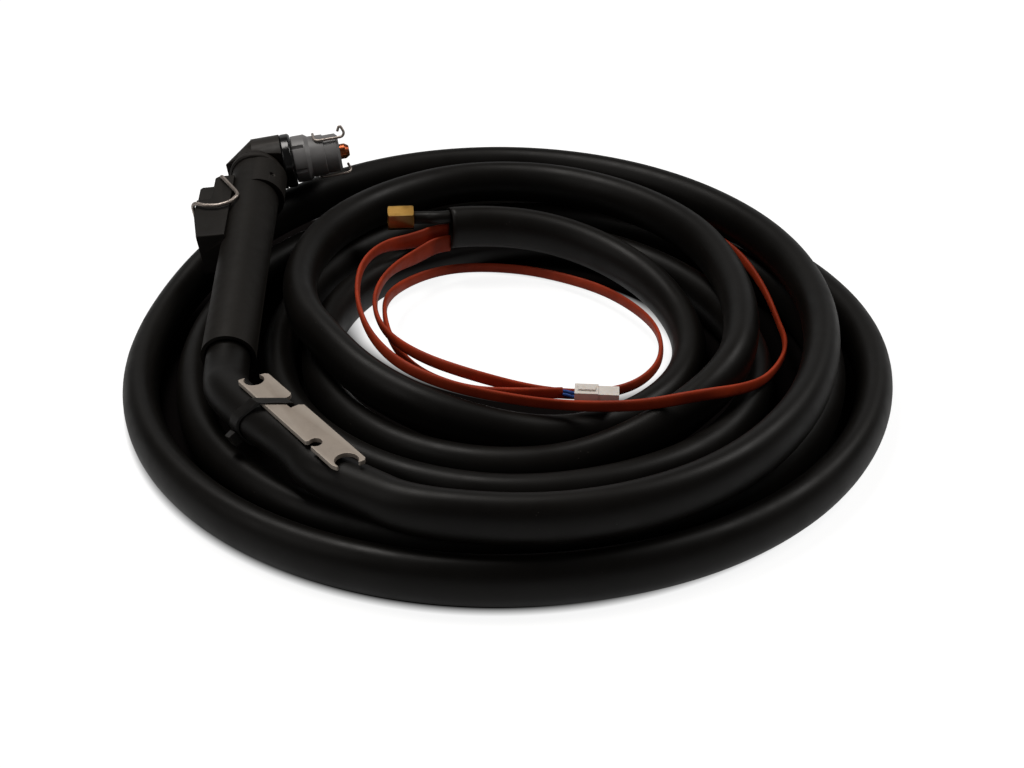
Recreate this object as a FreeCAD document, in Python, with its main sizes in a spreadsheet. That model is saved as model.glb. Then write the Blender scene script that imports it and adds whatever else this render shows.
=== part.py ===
import FreeCAD, Part
import Sketcher
import math
import os
from FreeCAD import Placement, Rotation, Vector

doc = FreeCAD.newDocument("torch_set")

# Driving sizes, in mm and degrees
SIZES = [
    ("handle_radius", 15.0), ("handle_wall", 2.0), ("handle_front_radius", 15.6), ("handle_length", 177.0),
    ("swell_back", 82.0), ("spigot_radius", 9.5), ("fit_gap", 0.1), ("neck_bore_back", 30.0),
    ("neck_radius", 15.7), ("neck_shift", 3.4), ("neck_length", 25.0),
    ("housing_half_width", 14.0), ("housing_wall", 1.8), ("housing_rear_back", 79.3), ("housing_rear_outer", 26.8),
    ("housing_mid_back", 55.6), ("housing_outer", 31.0), ("housing_step_back", 40.0), ("housing_seat", 22.0),
    ("housing_front_back", 15.7), ("housing_root", 10.0), ("cavity_root", 11.0), ("cavity_front_back", 20.0),
    ("button_outer", 31.6), ("button_half_width", 10.5), ("button_rear_back", 38.7), ("button_front_back", 20.9),
    ("button_gap", 0.3), ("button_travel", 2.0), ("button_inner", 17.6), ("flange_thick", 2.0),
    ("button_spring_y", 6.6), ("button_spring_back", 30.0), ("button_spring_radius", 2.2), ("button_spring_wire", 0.3),
    ("bracket_inner", 11.2), ("bracket_thick", 1.5), ("bracket_length", 39.0), ("switch_rear_back", 40.6),
    ("switch_length", 12.8), ("switch_half_width", 2.9), ("switch_inner", 8.6), ("switch_outer", 15.1),
    ("plunger_radius", 0.75), ("plunger_back", 32.0),
    ("bail_wire", 1.0), ("bail_half_width", 16.3), ("bail_pivot_x", 17.8), ("bail_pivot_back", 18.4),
    ("bail_fit", 0.06), ("bail_pin_depth", 3.6),
    ("screw_x", 13.4), ("screw_back", 16.0), ("screw_radius", 1.5), ("screw_head_radius", 2.6), ("screw_head_y", 9.7),
    ("nozzle_axis_ahead", 14.7), ("nozzle_axis_angle", 81.3), ("elbow_radius", 17.5), ("elbow_front", 16.0),
    ("elbow_back", 20.0), ("elbow_back_radius", 8.6), ("elbow_back_q", 7.8), ("neck_ring_radius", 17.4),
    ("neck_ring_length", 6.0), ("elbow_stem_radius", 15.9), ("spigot_length", 26.5),
    ("head_bore_radius", 11.0), ("head_thread_radius", 12.3), ("head_thread_end", 30.0), ("head_bore_back", 6.0),
    ("gloss_ring_radius", 17.2), ("gloss_ring_start", 16.0), ("gloss_ring_end", 22.6),
    ("cap_start", 22.9), ("cap_rear_radius", 15.0), ("cap_step", 31.2), ("cap_shoulder", 33.8),
    ("cap_mid_radius", 12.95), ("cap_edge", 42.9), ("cap_front_radius", 12.25), ("cap_front", 52.9),
    ("cap_bore", 12.6), ("cap_bore_end", 31.0), ("cap_inner", 10.9), ("cap_inner_end", 48.4), ("cap_hole", 5.2),
    ("cap_round", 1.8), ("cathode_radius", 7.6), ("cathode_end", 24.0), ("sleeve_radius", 10.9),
    ("sleeve_end", 27.0), ("electrode_radius", 3.6), ("electrode_end", 50.0), ("insert_radius", 1.0),
    ("swirl_start", 30.3), ("swirl_end", 41.0), ("swirl_radius", 10.6), ("swirl_bore", 4.8),
    ("nozzle_start", 41.2), ("nozzle_seat_radius", 10.4), ("nozzle_neck_radius", 4.9), ("nozzle_tip", 58.9),
    ("nozzle_tip_radius", 3.2), ("nozzle_wall", 1.4), ("orifice_radius", 0.6), ("o_ring_radius", 11.85), ("o_ring_section", 0.5),
    ("o_ring_s", 25.6), ("clip_wire", 0.75), ("clip_radius", 14.0), ("clip_ring_s", 37.5), ("clip_tip_s", 58.5),
    ("clip_leg_one", 108.8), ("clip_leg_two", 229.0),
    ("gas_tube_radius", 3.0), ("gas_tube_ahead", 3.0), ("clamp_start", 42.0),
    ("clamp_length", 12.0), ("clamp_radius", 12.9), ("lead_radius", 12.0), ("lead_inner_length", 59.9),
    ("mouth_x", -146.94), ("mouth_y", -57.27), ("mouth_z", 41.94), ("heading", 2.68), ("tilt", 8.37), ("roll", 5.02),
    ("oval_half_width", 10.0), ("oval_half_height", 13.75), ("flat_depth", 0.5), ("coil_floor", 13.25),
    ("coil_raised", 41.4), ("hose_radius", 4.0), ("tail_radius", 2.8), ("nut_across_flats", 14.0), ("nut_length", 16.5),
    ("nut_x", -63.5), ("nut_y", 105.0), ("nut_z", 46.0), ("nut_heading", 186.0), ("nut_thread_radius", 4.9), ("nut_thread_length", 6.5),
    ("nut_relief", 2.6),
    ("nut_bore_radius", 3.6), ("nipple_radius", 3.55), ("nipple_flange_radius", 4.7), ("nipple_flange", 1.6),
    ("flat_lead_radius", 3.0), ("blue_wire_radius", 0.9), ("connector_x", 47.0), ("connector_y", -87.5),
    ("connector_z", 37.0), ("connector_heading", -4.0), ("connector_length", 12.5), ("connector_width", 9.6), ("connector_height", 8.4),
    ("shroud_length", 11.0), ("shroud_width", 8.6), ("shroud_height", 7.2), ("shroud_wall", 0.8), ("contact_radius", 0.7),
    ("contact_pitch", 3.6), ("wrench_x", -126.4), ("wrench_y", -100.2), ("wrench_bottom", 55.25), ("wrench_heading", -52.6),
    ("wrench_length", 98.0), ("wrench_half_width", 8.0), ("wrench_thick", 2.5), ("wrench_jaw_one", 5.2), ("wrench_jaw_two", 5.8),
    ("wrench_side_jaw", 3.3), ("tie_width", 4.4), ("tie_thick", 1.1), ("tie_along", 33.0), ("tie_head", 7.0),
    ("tie_heading", -90.0), ("tie_head_turn", 205.0),
]

# Places along the handle that follow its front end, or the lead inside it
PLACES = [
    ("handle_swell_start", "handle_length - swell_back"), ("neck_bore_start", "handle_length - neck_bore_back"),
    ("neck_start", "handle_length - neck_length"), ("housing_rear", "handle_length - housing_rear_back"),
    ("housing_mid", "handle_length - housing_mid_back"), ("housing_step", "handle_length - housing_step_back"),
    ("housing_front", "handle_length - housing_front_back"), ("cavity_front", "handle_length - cavity_front_back"),
    ("button_rear", "handle_length - button_rear_back"), ("button_front", "handle_length - button_front_back"),
    ("button_spring_z", "handle_length - button_spring_back"), ("switch_rear", "handle_length - switch_rear_back"),
    ("plunger_z", "handle_length - plunger_back"), ("bail_pivot_z", "handle_length - bail_pivot_back"),
    ("screw_z", "handle_length - screw_back"), ("nozzle_axis_z", "handle_length + nozzle_axis_ahead"),
    ("spigot_start", "handle_length - spigot_length"), ("gas_tube_start", "lead_inner_length + fit_gap"),
    ("gas_tube_end", "handle_length + gas_tube_ahead"),
]

sheet = doc.addObject("Spreadsheet::Sheet", "Dims")
for row, (name, value) in enumerate(SIZES + PLACES, start=1):
    sheet.set(f"A{row}", name)
    sheet.set(f"B{row}", "=" + value if isinstance(value, str) else str(value))
    sheet.setAlias(f"B{row}", name)
doc.recompute()


class Size:
    """A size as a number together with the expression that binds it to the sheet."""

    def __init__(self, value, text):
        self.value = value
        self.text = text

    def __add__(self, other):
        other = size(other)
        return Size(self.value + other.value, f"({self.text} + {other.text})")

    def __radd__(self, other):
        return size(other) + self

    def __sub__(self, other):
        other = size(other)
        return Size(self.value - other.value, f"({self.text} - {other.text})")

    def __rsub__(self, other):
        return size(other) - self

    def __mul__(self, other):
        other = size(other)
        return Size(self.value * other.value, f"({self.text} * {other.text})")

    def __rmul__(self, other):
        return size(other) * self

    def __neg__(self):
        return Size(-self.value, f"(0 - {self.text})")


def size(item):
    if isinstance(item, Size):
        return item
    if isinstance(item, str):
        return Size(float(sheet.get(item)), "Dims." + item)
    return Size(float(item), repr(float(item)))


def num(item):
    return size(item).value


# The torch lies tilted on its lead: its own axes in the shared frame
heading = math.radians(num("heading"))
tilt = math.radians(num("tilt"))
roll = math.radians(num("roll"))
axis_z = Vector(-math.sin(heading) * math.cos(tilt), math.cos(heading) * math.cos(tilt), math.sin(tilt))
level_x = Vector(-math.cos(heading), -math.sin(heading), 0)
level_y = axis_z.cross(level_x)
axis_x = level_x * math.cos(roll) - level_y * math.sin(roll)
axis_y = axis_z.cross(axis_x)
mouth = Vector(num("mouth_x"), num("mouth_y"), num("mouth_z"))
TORCH = Placement(mouth, Rotation(axis_x, axis_y, axis_z, "ZXY"))
HEAD_LOCAL = Placement(Vector(0, 0, num("nozzle_axis_z")), Rotation(Vector(0, 1, 0), -num("nozzle_axis_angle")))
HEAD = TORCH.multiply(HEAD_LOCAL)
WORLD = Placement()

made = []


def keep(obj, name, place):
    """Name a finished sub-part, put it in place and remember it for the export."""
    obj.Label = name
    obj.Placement = place
    made.append(obj)
    return obj


def origin_plane(body, role):
    return [f for f in body.Origin.OriginFeatures if f.Role == role][0]


def sketch_on(body, name, role, lift=0.0):
    sk = body.newObject("Sketcher::SketchObject", name)
    sk.AttachmentSupport = [(origin_plane(body, role), "")]
    sk.MapMode = "FlatFace"
    if isinstance(lift, (Size, str)) or lift:
        sk.AttachmentOffset = Placement(Vector(0, 0, num(lift)), Rotation())
        sk.setExpression("AttachmentOffset.Base.z", size(lift).text)
    return sk


def pin(sk, geo, point, x, y):
    """Fix a point of a sketch to the sheet, from the sketch's origin."""
    x, y = size(x), size(y)
    if abs(x.value) < 1e-9:
        sk.addConstraint(Sketcher.Constraint("PointOnObject", geo, point, -2))
    else:
        k = sk.addConstraint(Sketcher.Constraint("DistanceX", -1, 1, geo, point, x.value))
        sk.setExpression(f"Constraints[{k}]", x.text)
    if abs(y.value) < 1e-9:
        sk.addConstraint(Sketcher.Constraint("PointOnObject", geo, point, -1))
    else:
        k = sk.addConstraint(Sketcher.Constraint("DistanceY", -1, 1, geo, point, y.value))
        sk.setExpression(f"Constraints[{k}]", y.text)


def polygon(sk, points):
    """A closed outline whose corners all come from the sheet."""
    first = sk.GeometryCount
    pts = [Vector(num(x), num(y), 0) for x, y in points]
    count = len(pts)
    for k in range(count):
        sk.addGeometry(Part.LineSegment(pts[k], pts[(k + 1) % count]), False)
    for k in range(count):
        sk.addConstraint(Sketcher.Constraint("Coincident", first + k, 2, first + (k + 1) % count, 1))
    for k, (x, y) in enumerate(points):
        pin(sk, first + k, 1, x, y)


def ring(sk, x, y, radius):
    g = sk.addGeometry(Part.Circle(Vector(num(x), num(y), 0), Vector(0, 0, 1), num(radius)), False)
    pin(sk, g, 3, x, y)
    k = sk.addConstraint(Sketcher.Constraint("Radius", g, num(radius)))
    sk.setExpression(f"Constraints[{k}]", size(radius).text)


def box_outline(sk, x0, y0, x1, y1):
    polygon(sk, [(x0, y0), (x1, y0), (x1, y1), (x0, y1)])


def turn(body, name, points, cut=False):
    """A revolution or a groove about the body's own Z axis from an outline in (radius, height)."""
    sk = sketch_on(body, name + "_outline", "XZ_Plane")
    polygon(sk, points)
    kind = "PartDesign::Groove" if cut else "PartDesign::Revolution"
    rev = body.newObject(kind, name)
    rev.Profile = sk
    rev.ReferenceAxis = (sk, ["V_Axis"])
    rev.Angle = 360.0
    body.Tip = rev
    return rev


def pad(body, name, sk, length, middle=False, back=False, cut=False):
    feat = body.newObject("PartDesign::Pocket" if cut else "PartDesign::Pad", name)
    feat.Profile = sk
    feat.Length = num(length)
    feat.setExpression("Length", size(length).text)
    if middle:
        feat.SideType = "Symmetric"
    feat.Reversed = back
    body.Tip = feat
    return feat


def new_body(name):
    return doc.addObject("PartDesign::Body", name)


def volume(obj):
    doc.recompute()
    return obj.Shape.Volume


def edges_where(shape, test):
    """Names of the edges whose middle point passes a test."""
    names = []
    for k, edge in enumerate(shape.Edges, start=1):
        mid = edge.valueAt((edge.FirstParameter + edge.LastParameter) / 2)
        if test(edge, mid):
            names.append(f"Edge{k}")
    return names


def soften(body, name, test, radius, chamfer=False):
    doc.recompute()
    base = body.Tip
    names = edges_where(base.Shape, test)
    if not names:
        raise RuntimeError("no edge found for " + name)
    feat = body.newObject("PartDesign::Chamfer" if chamfer else "PartDesign::Fillet", name)
    feat.Base = (base, names)
    if chamfer:
        feat.Size = num(radius)
        feat.setExpression("Size", size(radius).text)
    else:
        feat.Radius = num(radius)
        feat.setExpression("Radius", size(radius).text)
    body.Tip = feat
    return feat


# Handle shells
bore_radius = size("handle_radius") - size("handle_wall")
neck_bore = size("spigot_radius") + size("fit_gap")


def handle_shell(name, upper):
    body = new_body(name)
    turn(body, name + "_tube", [
        (0, 0), ("handle_radius", 0), ("handle_radius", "handle_swell_start"),
        ("handle_front_radius", size("handle_length") - 25), ("handle_front_radius", "handle_length"), (0, "handle_length")])
    sk = sketch_on(body, name + "_neck_outline", "XY_Plane", "neck_start")
    ring(sk, -size("neck_shift"), 0, "neck_radius")
    pad(body, name + "_neck", sk, size("handle_length") - size("neck_start"))
    sk = sketch_on(body, name + "_housing_outline", "XZ_Plane")
    polygon(sk, [
        ("housing_root", "housing_rear"), ("housing_rear_outer", "housing_rear"), ("housing_outer", "housing_mid"),
        ("housing_outer", "housing_step"), ("housing_seat", size("housing_step") + 1),
        ("housing_seat", size("housing_front") - 2), (size("housing_seat") - 2.6, "housing_front"),
        ("housing_root", "housing_front")])
    pad(body, name + "_housing", sk, size("housing_half_width") * 2, middle=True)
    half = num("housing_half_width")
    soften(body, name + "_housing_edges", lambda e, m: abs(abs(m.y) - half) < 0.01 and m.x > 17.5 and m.z < 160, 0.9)
    turn(body, name + "_bore", [
        (0, -2), (bore_radius, -2), (bore_radius, size("neck_bore_start") - 4), (neck_bore, "neck_bore_start"),
        (neck_bore, size("handle_length") + 2), (0, size("handle_length") + 2)], cut=True)
    wall = size("housing_wall")
    sk = sketch_on(body, name + "_cavity_outline", "XZ_Plane")
    polygon(sk, [
        ("cavity_root", size("housing_rear") + wall), (size("housing_rear_outer") - 1.6, size("housing_rear") + wall),
        (size("housing_outer") - wall, size("housing_mid") + 0.4), (size("housing_outer") - wall, size("housing_step") - 2.2),
        (size("housing_seat") - 2.3, size("housing_step") - 2.2), (size("housing_seat") - 2.3, "cavity_front"),
        ("cavity_root", "cavity_front")])
    pad(body, name + "_cavity", sk, (size("housing_half_width") - wall) * 2, middle=True, cut=True)
    sk = sketch_on(body, name + "_switch_recess_outline", "XZ_Plane")
    box_outline(sk, size("switch_inner") - 1, size("switch_rear") - 0.5, 12, size("switch_rear") + size("switch_length") + 0.5)
    pad(body, name + "_switch_recess", sk, (size("switch_half_width") + 0.2) * 2, middle=True, cut=True)
    gap = size("button_gap")
    sk = sketch_on(body, name + "_window_outline", "YZ_Plane", "button_inner")
    box_outline(sk, -(size("button_half_width") + gap), size("button_rear") - gap,
                size("button_half_width") + gap, size("button_front") + gap)
    pad(body, name + "_window", sk, 16, cut=True, back=True)
    sk = sketch_on(body, name + "_pivot_outline", "XZ_Plane")
    ring(sk, "bail_pivot_x", "bail_pivot_z", size("bail_wire") + size("bail_fit"))
    pad(body, name + "_pivot_holes", sk, 40, middle=True, cut=True)
    sk = sketch_on(body, name + "_screw_outline", "XZ_Plane")
    ring(sk, -size("screw_x"), "screw_z", size("screw_radius") + size("fit_gap"))
    pad(body, name + "_screw_hole", sk, 40, middle=True, cut=True)
    sk = sketch_on(body, name + "_half_outline", "XY_Plane", -5)
    beyond, deep = size("housing_outer") + 9, size("handle_front_radius") * 2
    if upper:
        box_outline(sk, -deep, -deep, beyond, 0)
    else:
        box_outline(sk, -deep, 0, beyond, deep)
    whole = volume(body)
    pad(body, name + "_half", sk, size("handle_length") + 10, cut=True, back=True)
    ratio = volume(body) / whole
    print(name, "half share", round(ratio, 4))
    if not 0.45 < ratio < 0.55:
        raise RuntimeError("the half cut of " + name + " is wrong")
    return keep(body, name, TORCH)


handle_shell("handle_shell_upper", True)
handle_shell("handle_shell_lower", False)

# The screw stands in both shells; its head seats in the upper one
screw = new_body("handle_screw")
head_y = size("screw_head_y")
turn(screw, "handle_screw_shape", [(0, -9.5), ("screw_radius", -9.5), ("screw_radius", head_y + 1.4), (0, head_y + 1.4)])
sk = sketch_on(screw, "handle_screw_slot_outline", "XY_Plane", head_y + 0.6)
box_outline(sk, -0.9, -0.35, 0.9, 0.35)
pad(screw, "handle_screw_slot", sk, 3, cut=True, back=True)
sk = sketch_on(screw, "handle_screw_slot_b_outline", "XY_Plane", head_y + 0.6)
box_outline(sk, -0.35, -0.9, 0.35, 0.9)
pad(screw, "handle_screw_slot_b", sk, 3, cut=True, back=True)
screw_local = Placement(Vector(-num("screw_x"), 0, num("screw_z")), Rotation(Vector(1, 0, 0), -90))
keep(screw, "handle_screw", TORCH.multiply(screw_local))

# Trigger button, an open block with a flange inside the housing
button = new_body("trigger_button")
sk = sketch_on(button, "trigger_button_outline", "XZ_Plane")
polygon(sk, [
    ("button_inner", "button_rear"), (size("button_outer") - 0.4, "button_rear"), ("button_outer", size("button_rear") + 1),
    ("button_outer", size("button_front") - 1.6), (size("button_outer") - 1.4, "button_front"), ("button_inner", "button_front")])
pad(button, "trigger_button_block", sk, size("button_half_width") * 2, middle=True)
wide = num("button_half_width")
soften(button, "trigger_button_round", lambda e, m: abs(abs(m.y) - wide) < 0.01 and m.x > num("button_inner") + 1, 0.8)
sk = sketch_on(button, "trigger_button_flange_outline", "YZ_Plane", "button_inner")
box_outline(sk, -(size("button_half_width") + 1.3), size("button_rear") + 1, size("button_half_width") + 1.3, size("button_front") - 1)
pad(button, "trigger_button_flange", sk, "flange_thick")
sk = sketch_on(button, "trigger_button_hollow_outline", "YZ_Plane", "button_inner")
box_outline(sk, -1.8, size("plunger_z") - 2.5, 1.8, size("plunger_z") + 2.5)
pad(button, "trigger_button_hollow", sk, 6, cut=True, back=True)
for side in (-1, 1):
    tag = "near" if side < 0 else "far"
    sk = sketch_on(button, "trigger_button_well_" + tag, "YZ_Plane", "button_inner")
    ring(sk, size("button_spring_y") * side, "button_spring_z", size("button_spring_radius") + 0.6)
    pad(button, "trigger_button_spring_well_" + tag, sk, 3, cut=True, back=True)
keep(button, "trigger_button", TORCH)

# Switch bracket, switch and plunger
bracket = new_body("switch_bracket")
sk = sketch_on(bracket, "switch_bracket_outline", "YZ_Plane", "bracket_inner")
reach = size("housing_half_width") - size("housing_wall") - 0.1
box_outline(sk, -reach, size("cavity_front") - size("bracket_length"), reach, "cavity_front")
box_outline(sk, -(size("switch_half_width") + 0.05), size("switch_rear") - 0.05,
            size("switch_half_width") + 0.05, size("switch_rear") + size("switch_length") + 0.05)
pad(bracket, "switch_bracket_plate", sk, "bracket_thick")
keep(bracket, "switch_bracket", TORCH)
switch = new_body("trigger_switch")
sk = sketch_on(switch, "trigger_switch_outline", "XZ_Plane")
box_outline(sk, "switch_inner", "switch_rear", "switch_outer", size("switch_rear") + size("switch_length"))
pad(switch, "trigger_switch_block", sk, size("switch_half_width") * 2, middle=True)
sk = sketch_on(switch, "trigger_switch_hole_outline", "YZ_Plane", "switch_outer")
ring(sk, 0, "plunger_z", size("plunger_radius") + 0.08)
switch_whole = volume(switch)
pad(switch, "trigger_switch_hole", sk, 4.5, cut=True)
if volume(switch) > switch_whole - 1:
    raise RuntimeError("the switch has no hole for its plunger")
keep(switch, "trigger_switch", TORCH)
plunger = new_body("switch_plunger")
sk = sketch_on(plunger, "switch_plunger_outline", "YZ_Plane", size("switch_outer") - 1.6)
ring(sk, 0, "plunger_z", "plunger_radius")
# The button's hollow clears the plunger's head by a small gap
pad(plunger, "switch_plunger_pin", sk, size("button_inner") + 6 - size("switch_outer") + 1.6 - 0.1)
keep(plunger, "switch_plunger", TORCH)


def rounded_route(points, limit=None):
    """Straight runs joined by tangent arcs; returns the wire and its smallest arc radius."""
    pts = [Vector(*p) for p in points]
    runs = [(pts[k + 1] - pts[k]).Length for k in range(len(pts) - 1)]
    edges = []
    start = pts[0]
    least = 1e9
    for k in range(1, len(pts) - 1):
        a = (pts[k] - pts[k - 1]).normalize()
        b = (pts[k + 1] - pts[k]).normalize()
        half = a.getAngle(b) / 2
        radius = 0.45 * min(runs[k - 1], runs[k]) / math.tan(half)
        if limit:
            radius = min(radius, limit)
        least = min(least, radius)
        trim = radius * math.tan(half)
        p = pts[k] - a * trim
        q = pts[k] + b * trim
        inward = (b - a).normalize()
        centre = pts[k] + inward * (radius / math.cos(half))
        mid = centre - inward * radius
        edges.append(Part.LineSegment(start, p).toShape())
        edges.append(Part.Arc(p, mid, q).toShape())
        start = q
    edges.append(Part.LineSegment(start, pts[-1]).toShape())
    return Part.Wire(edges), least


def faceted(centre, out, side, half_out, half_side, sides):
    """A section of flat sides with its corners on an oval."""
    corners = []
    for k in range(sides):
        t = 2 * math.pi * k / sides
        corners.append(centre + out * (half_out * math.cos(t)) + side * (half_side * math.sin(t)))
    return Part.makePolygon(corners + corners[:1])


def tube(name, points, radius, place=WORLD, limit=None, sides=None):
    """A tube or wire along a rounded route, round or with flat sides."""
    wire, least = rounded_route(points, limit)
    first = Vector(*points[0])
    direction = (Vector(*points[1]) - first).normalize()
    if sides:
        hint = Vector(1, 0, 0) if abs(direction.z) > 0.9 else Vector(0, 0, 1)
        side = direction.cross(hint).normalize()
        profile = faceted(first, side.cross(direction), side, num(radius), num(radius), sides)
    else:
        profile = Part.Wire([Part.makeCircle(num(radius), first, direction)])
    shell = Part.BRepOffsetAPI.MakePipeShell(wire)
    shell.add(profile)
    shell.build()
    shell.makeSolid()
    shape = shell.shape()
    obj = doc.addObject("Part::Feature", name)
    obj.Shape = shape
    obj.addProperty("App::PropertyLength", "SectionRadius")
    obj.setExpression("SectionRadius", size(radius).text)
    want = Part.Face(profile).Area * wire.Length
    print(f"{name}: length {wire.Length:.1f} mm, least arc radius {least:.1f} mm, volume over section times length {shape.Volume / want:.4f}")
    return keep(obj, name, place)


# Springs under the button, each wound as a helix of six straight runs and arcs a turn
spring_turns = 4
spring_steps = 6 * spring_turns
wire = num("button_spring_wire")
spring_foot = num("bracket_inner") + num("bracket_thick") + wire + 0.02
spring_rest = num("button_inner") + 3 - wire - 0.02 - spring_foot
for side, tag in ((-1, "lower"), (1, "upper")):
    spring_route = []
    for k in range(spring_steps + 1):
        t = 2 * math.pi * spring_turns * k / spring_steps
        spring_route.append((num("button_spring_radius") * math.cos(t), num("button_spring_radius") * math.sin(t),
                             spring_rest * k / spring_steps))
    local = Placement(Vector(spring_foot, side * num("button_spring_y"), num("button_spring_z")), Rotation(Vector(0, 1, 0), 90))
    tube("button_spring_" + tag, spring_route, "button_spring_wire", TORCH.multiply(local), sides=6)

# Safety bail of bent wire, hinged in the housing's walls
w = num("bail_half_width")
px, pz = num("bail_pivot_x"), num("bail_pivot_z")
inner_end = num("housing_half_width") - num("bail_pin_depth")
bends = [(-11.2, -19.2), (-13.2, -23.9), (-8.7, -30.8), (-1.7, -33.3), (6.4, -32.0), (14.9, -27.4)]
side_points = [(px, pz)] + [(px + x, pz + z) for x, z in bends]
route = [(px, inner_end, pz)] + [(x, w, z) for x, z in side_points]
route += [(x, -w, z) for x, z in reversed(side_points)] + [(px, -inner_end, pz)]
tube("safety_bail", route, "bail_wire", TORCH, limit=7.0)

# Elbow of the head, with its stem in the handle

def cylinder(name, radius, height, low, in_head=True):
    """A cylinder along the nozzle axis or the handle axis, from the sheet."""
    obj = doc.addObject("Part::Cylinder", name)
    obj.setExpression("Radius", size(radius).text)
    obj.setExpression("Height", size(height).text)
    lift = Placement(Vector(0, 0, num(low)), Rotation())
    obj.Placement = HEAD_LOCAL.multiply(lift) if in_head else lift
    return obj


def fused(name, parts):
    obj = doc.addObject("Part::MultiFuse", name)
    obj.Shapes = parts
    obj.Refine = False
    return obj


def cut_from(name, base, tool):
    obj = doc.addObject("Part::Cut", name)
    obj.Base = base
    obj.Tool = tool
    return obj


elbow_main = cylinder("elbow_main", "elbow_radius", size("elbow_front") + 2, -2)
elbow_thread = cylinder("elbow_thread", "head_thread_radius", size("head_thread_end") - 10, 10)
stem_low = size("handle_length") + 0.1
elbow_stem = cylinder("elbow_stem", size("elbow_stem_radius") + 0.6, 18.0, stem_low - 6, in_head=False)
elbow_spigot = cylinder("elbow_spigot", size("spigot_radius") + 0.3, size("handle_length") + 4 - size("spigot_start"), "spigot_start", in_head=False)
back_near = doc.addObject("Part::Circle", "elbow_back_near")
back_near.setExpression("Radius", (size("elbow_radius") - 0.02).text)
back_near.Placement = HEAD_LOCAL.multiply(Placement(Vector(0, 0, -1.5), Rotation()))
back_far = doc.addObject("Part::Circle", "elbow_back_far")
back_far.setExpression("Radius", size("elbow_back_radius").text)
back_far.Placement = HEAD_LOCAL.multiply(Placement(Vector(-num("elbow_back_q"), 0, -num("elbow_back")), Rotation()))
back = doc.addObject("Part::Loft", "elbow_back_loft")
back.Sections = [back_near, back_far]
back.Solid = True
elbow_bulk = fused("elbow_bulk", [elbow_main, elbow_thread, back, elbow_stem, elbow_spigot])
trim = new_body("elbow_trim")
ring_top = stem_low + size("neck_ring_length") - 0.31
trim_reach = size("elbow_radius") * 3
turn(trim, "elbow_trim_shape", [
    ("spigot_radius", size("spigot_start") - 30), (trim_reach, size("spigot_start") - 30), (trim_reach, ring_top),
    ("elbow_stem_radius", ring_top),
    ("elbow_stem_radius", stem_low), ("spigot_radius", stem_low)])
elbow_outer = cut_from("elbow_outer", elbow_bulk, trim)
head_bore = cylinder("elbow_bore", "head_bore_radius", size("head_bore_back") + size("head_thread_end") + 2, -size("head_bore_back"))
gas_bore = cylinder("elbow_gas_bore", size("gas_tube_radius") + size("fit_gap"),
                    size("nozzle_axis_z") - size("spigot_start") + 8.8, size("spigot_start") - 5, in_head=False)
groove_outer = cylinder("o_ring_groove_outer", size("head_thread_radius") + 1, 1.4, size("o_ring_s") - 0.7)
groove_inner = cylinder("o_ring_groove_core", size("o_ring_radius") - size("o_ring_section") - 0.05, 1.4, size("o_ring_s") - 0.7)
groove = cut_from("o_ring_groove", groove_outer, groove_inner)
holes = fused("elbow_holes", [head_bore, gas_bore, groove])
head = cut_from("head_elbow", elbow_outer, holes)
keep(head, "head_elbow", TORCH)

# Ring between handle and elbow
neck_ring = new_body("neck_ring")
low = size("handle_length") + 0.1
turn(neck_ring, "neck_ring_shape", [
    (size("elbow_stem_radius") + 0.05, low), (size("neck_ring_radius") - 1.0, low), ("neck_ring_radius", low + 1.0),
    ("neck_ring_radius", low + 3.2), (size("neck_ring_radius") - 0.9, low + 5.6), (size("elbow_stem_radius") + 0.05, low + 5.6)])
keep(neck_ring, "neck_ring", TORCH)
doc.recompute()


def head_turned(name, points, cuts=()):
    body = new_body(name)
    turn(body, name + "_shape", points)
    for tag, cut_points in cuts:
        turn(body, name + "_" + tag, cut_points, cut=True)
    return keep(body, name, HEAD)


gs, ge = size("gloss_ring_start") + 0.05, size("gloss_ring_end")
gloss = new_body("gloss_ring")
turn(gloss, "gloss_ring_shape", [
    (size("head_thread_radius") + 0.1, gs), (size("gloss_ring_radius") - 0.8, gs), ("gloss_ring_radius", gs + 0.8),
    ("gloss_ring_radius", ge - 1.2), (size("gloss_ring_radius") - 1.2, ge), (size("head_thread_radius") + 0.1, ge)])
keep(gloss, "gloss_ring", HEAD)

cap = new_body("nozzle_cap")
turn(cap, "nozzle_cap_shape", [
    ("cap_bore", "cap_start"), (size("cap_rear_radius") - 0.5, "cap_start"), ("cap_rear_radius", size("cap_start") + 0.5),
    ("cap_rear_radius", "cap_step"), (size("cap_mid_radius") + 0.25, "cap_shoulder"), ("cap_mid_radius", "cap_edge"),
    ("cap_front_radius", size("cap_edge") + 0.4), ("cap_front_radius", size("cap_front") - size("cap_round")),
    (size("cap_front_radius") - size("cap_round"), "cap_front"), ("cap_hole", "cap_front"), ("cap_hole", "cap_inner_end"),
    ("cap_inner", size("cap_inner_end") - 2), ("cap_inner", "cap_bore_end"), ("cap_bore", "cap_bore_end")])
sk = sketch_on(cap, "nozzle_cap_flute_outline", "XY_Plane", size("cap_start") - 1)
polygon(sk, [(size("cap_rear_radius") - 1.5, 0), (size("cap_rear_radius") + 1.5, 3.2), (size("cap_rear_radius") + 1.5, -3.2)])
flute = pad(cap, "nozzle_cap_flute", sk, 8.5, cut=True, back=True)
flutes = cap.newObject("PartDesign::PolarPattern", "nozzle_cap_flutes")
flutes.Originals = [flute]
flutes.Axis = (origin_plane(cap, "Z_Axis"), [""])
flutes.Angle = 360
flutes.Occurrences = 6
cap.Tip = flutes
keep(cap, "nozzle_cap", HEAD)

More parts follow.
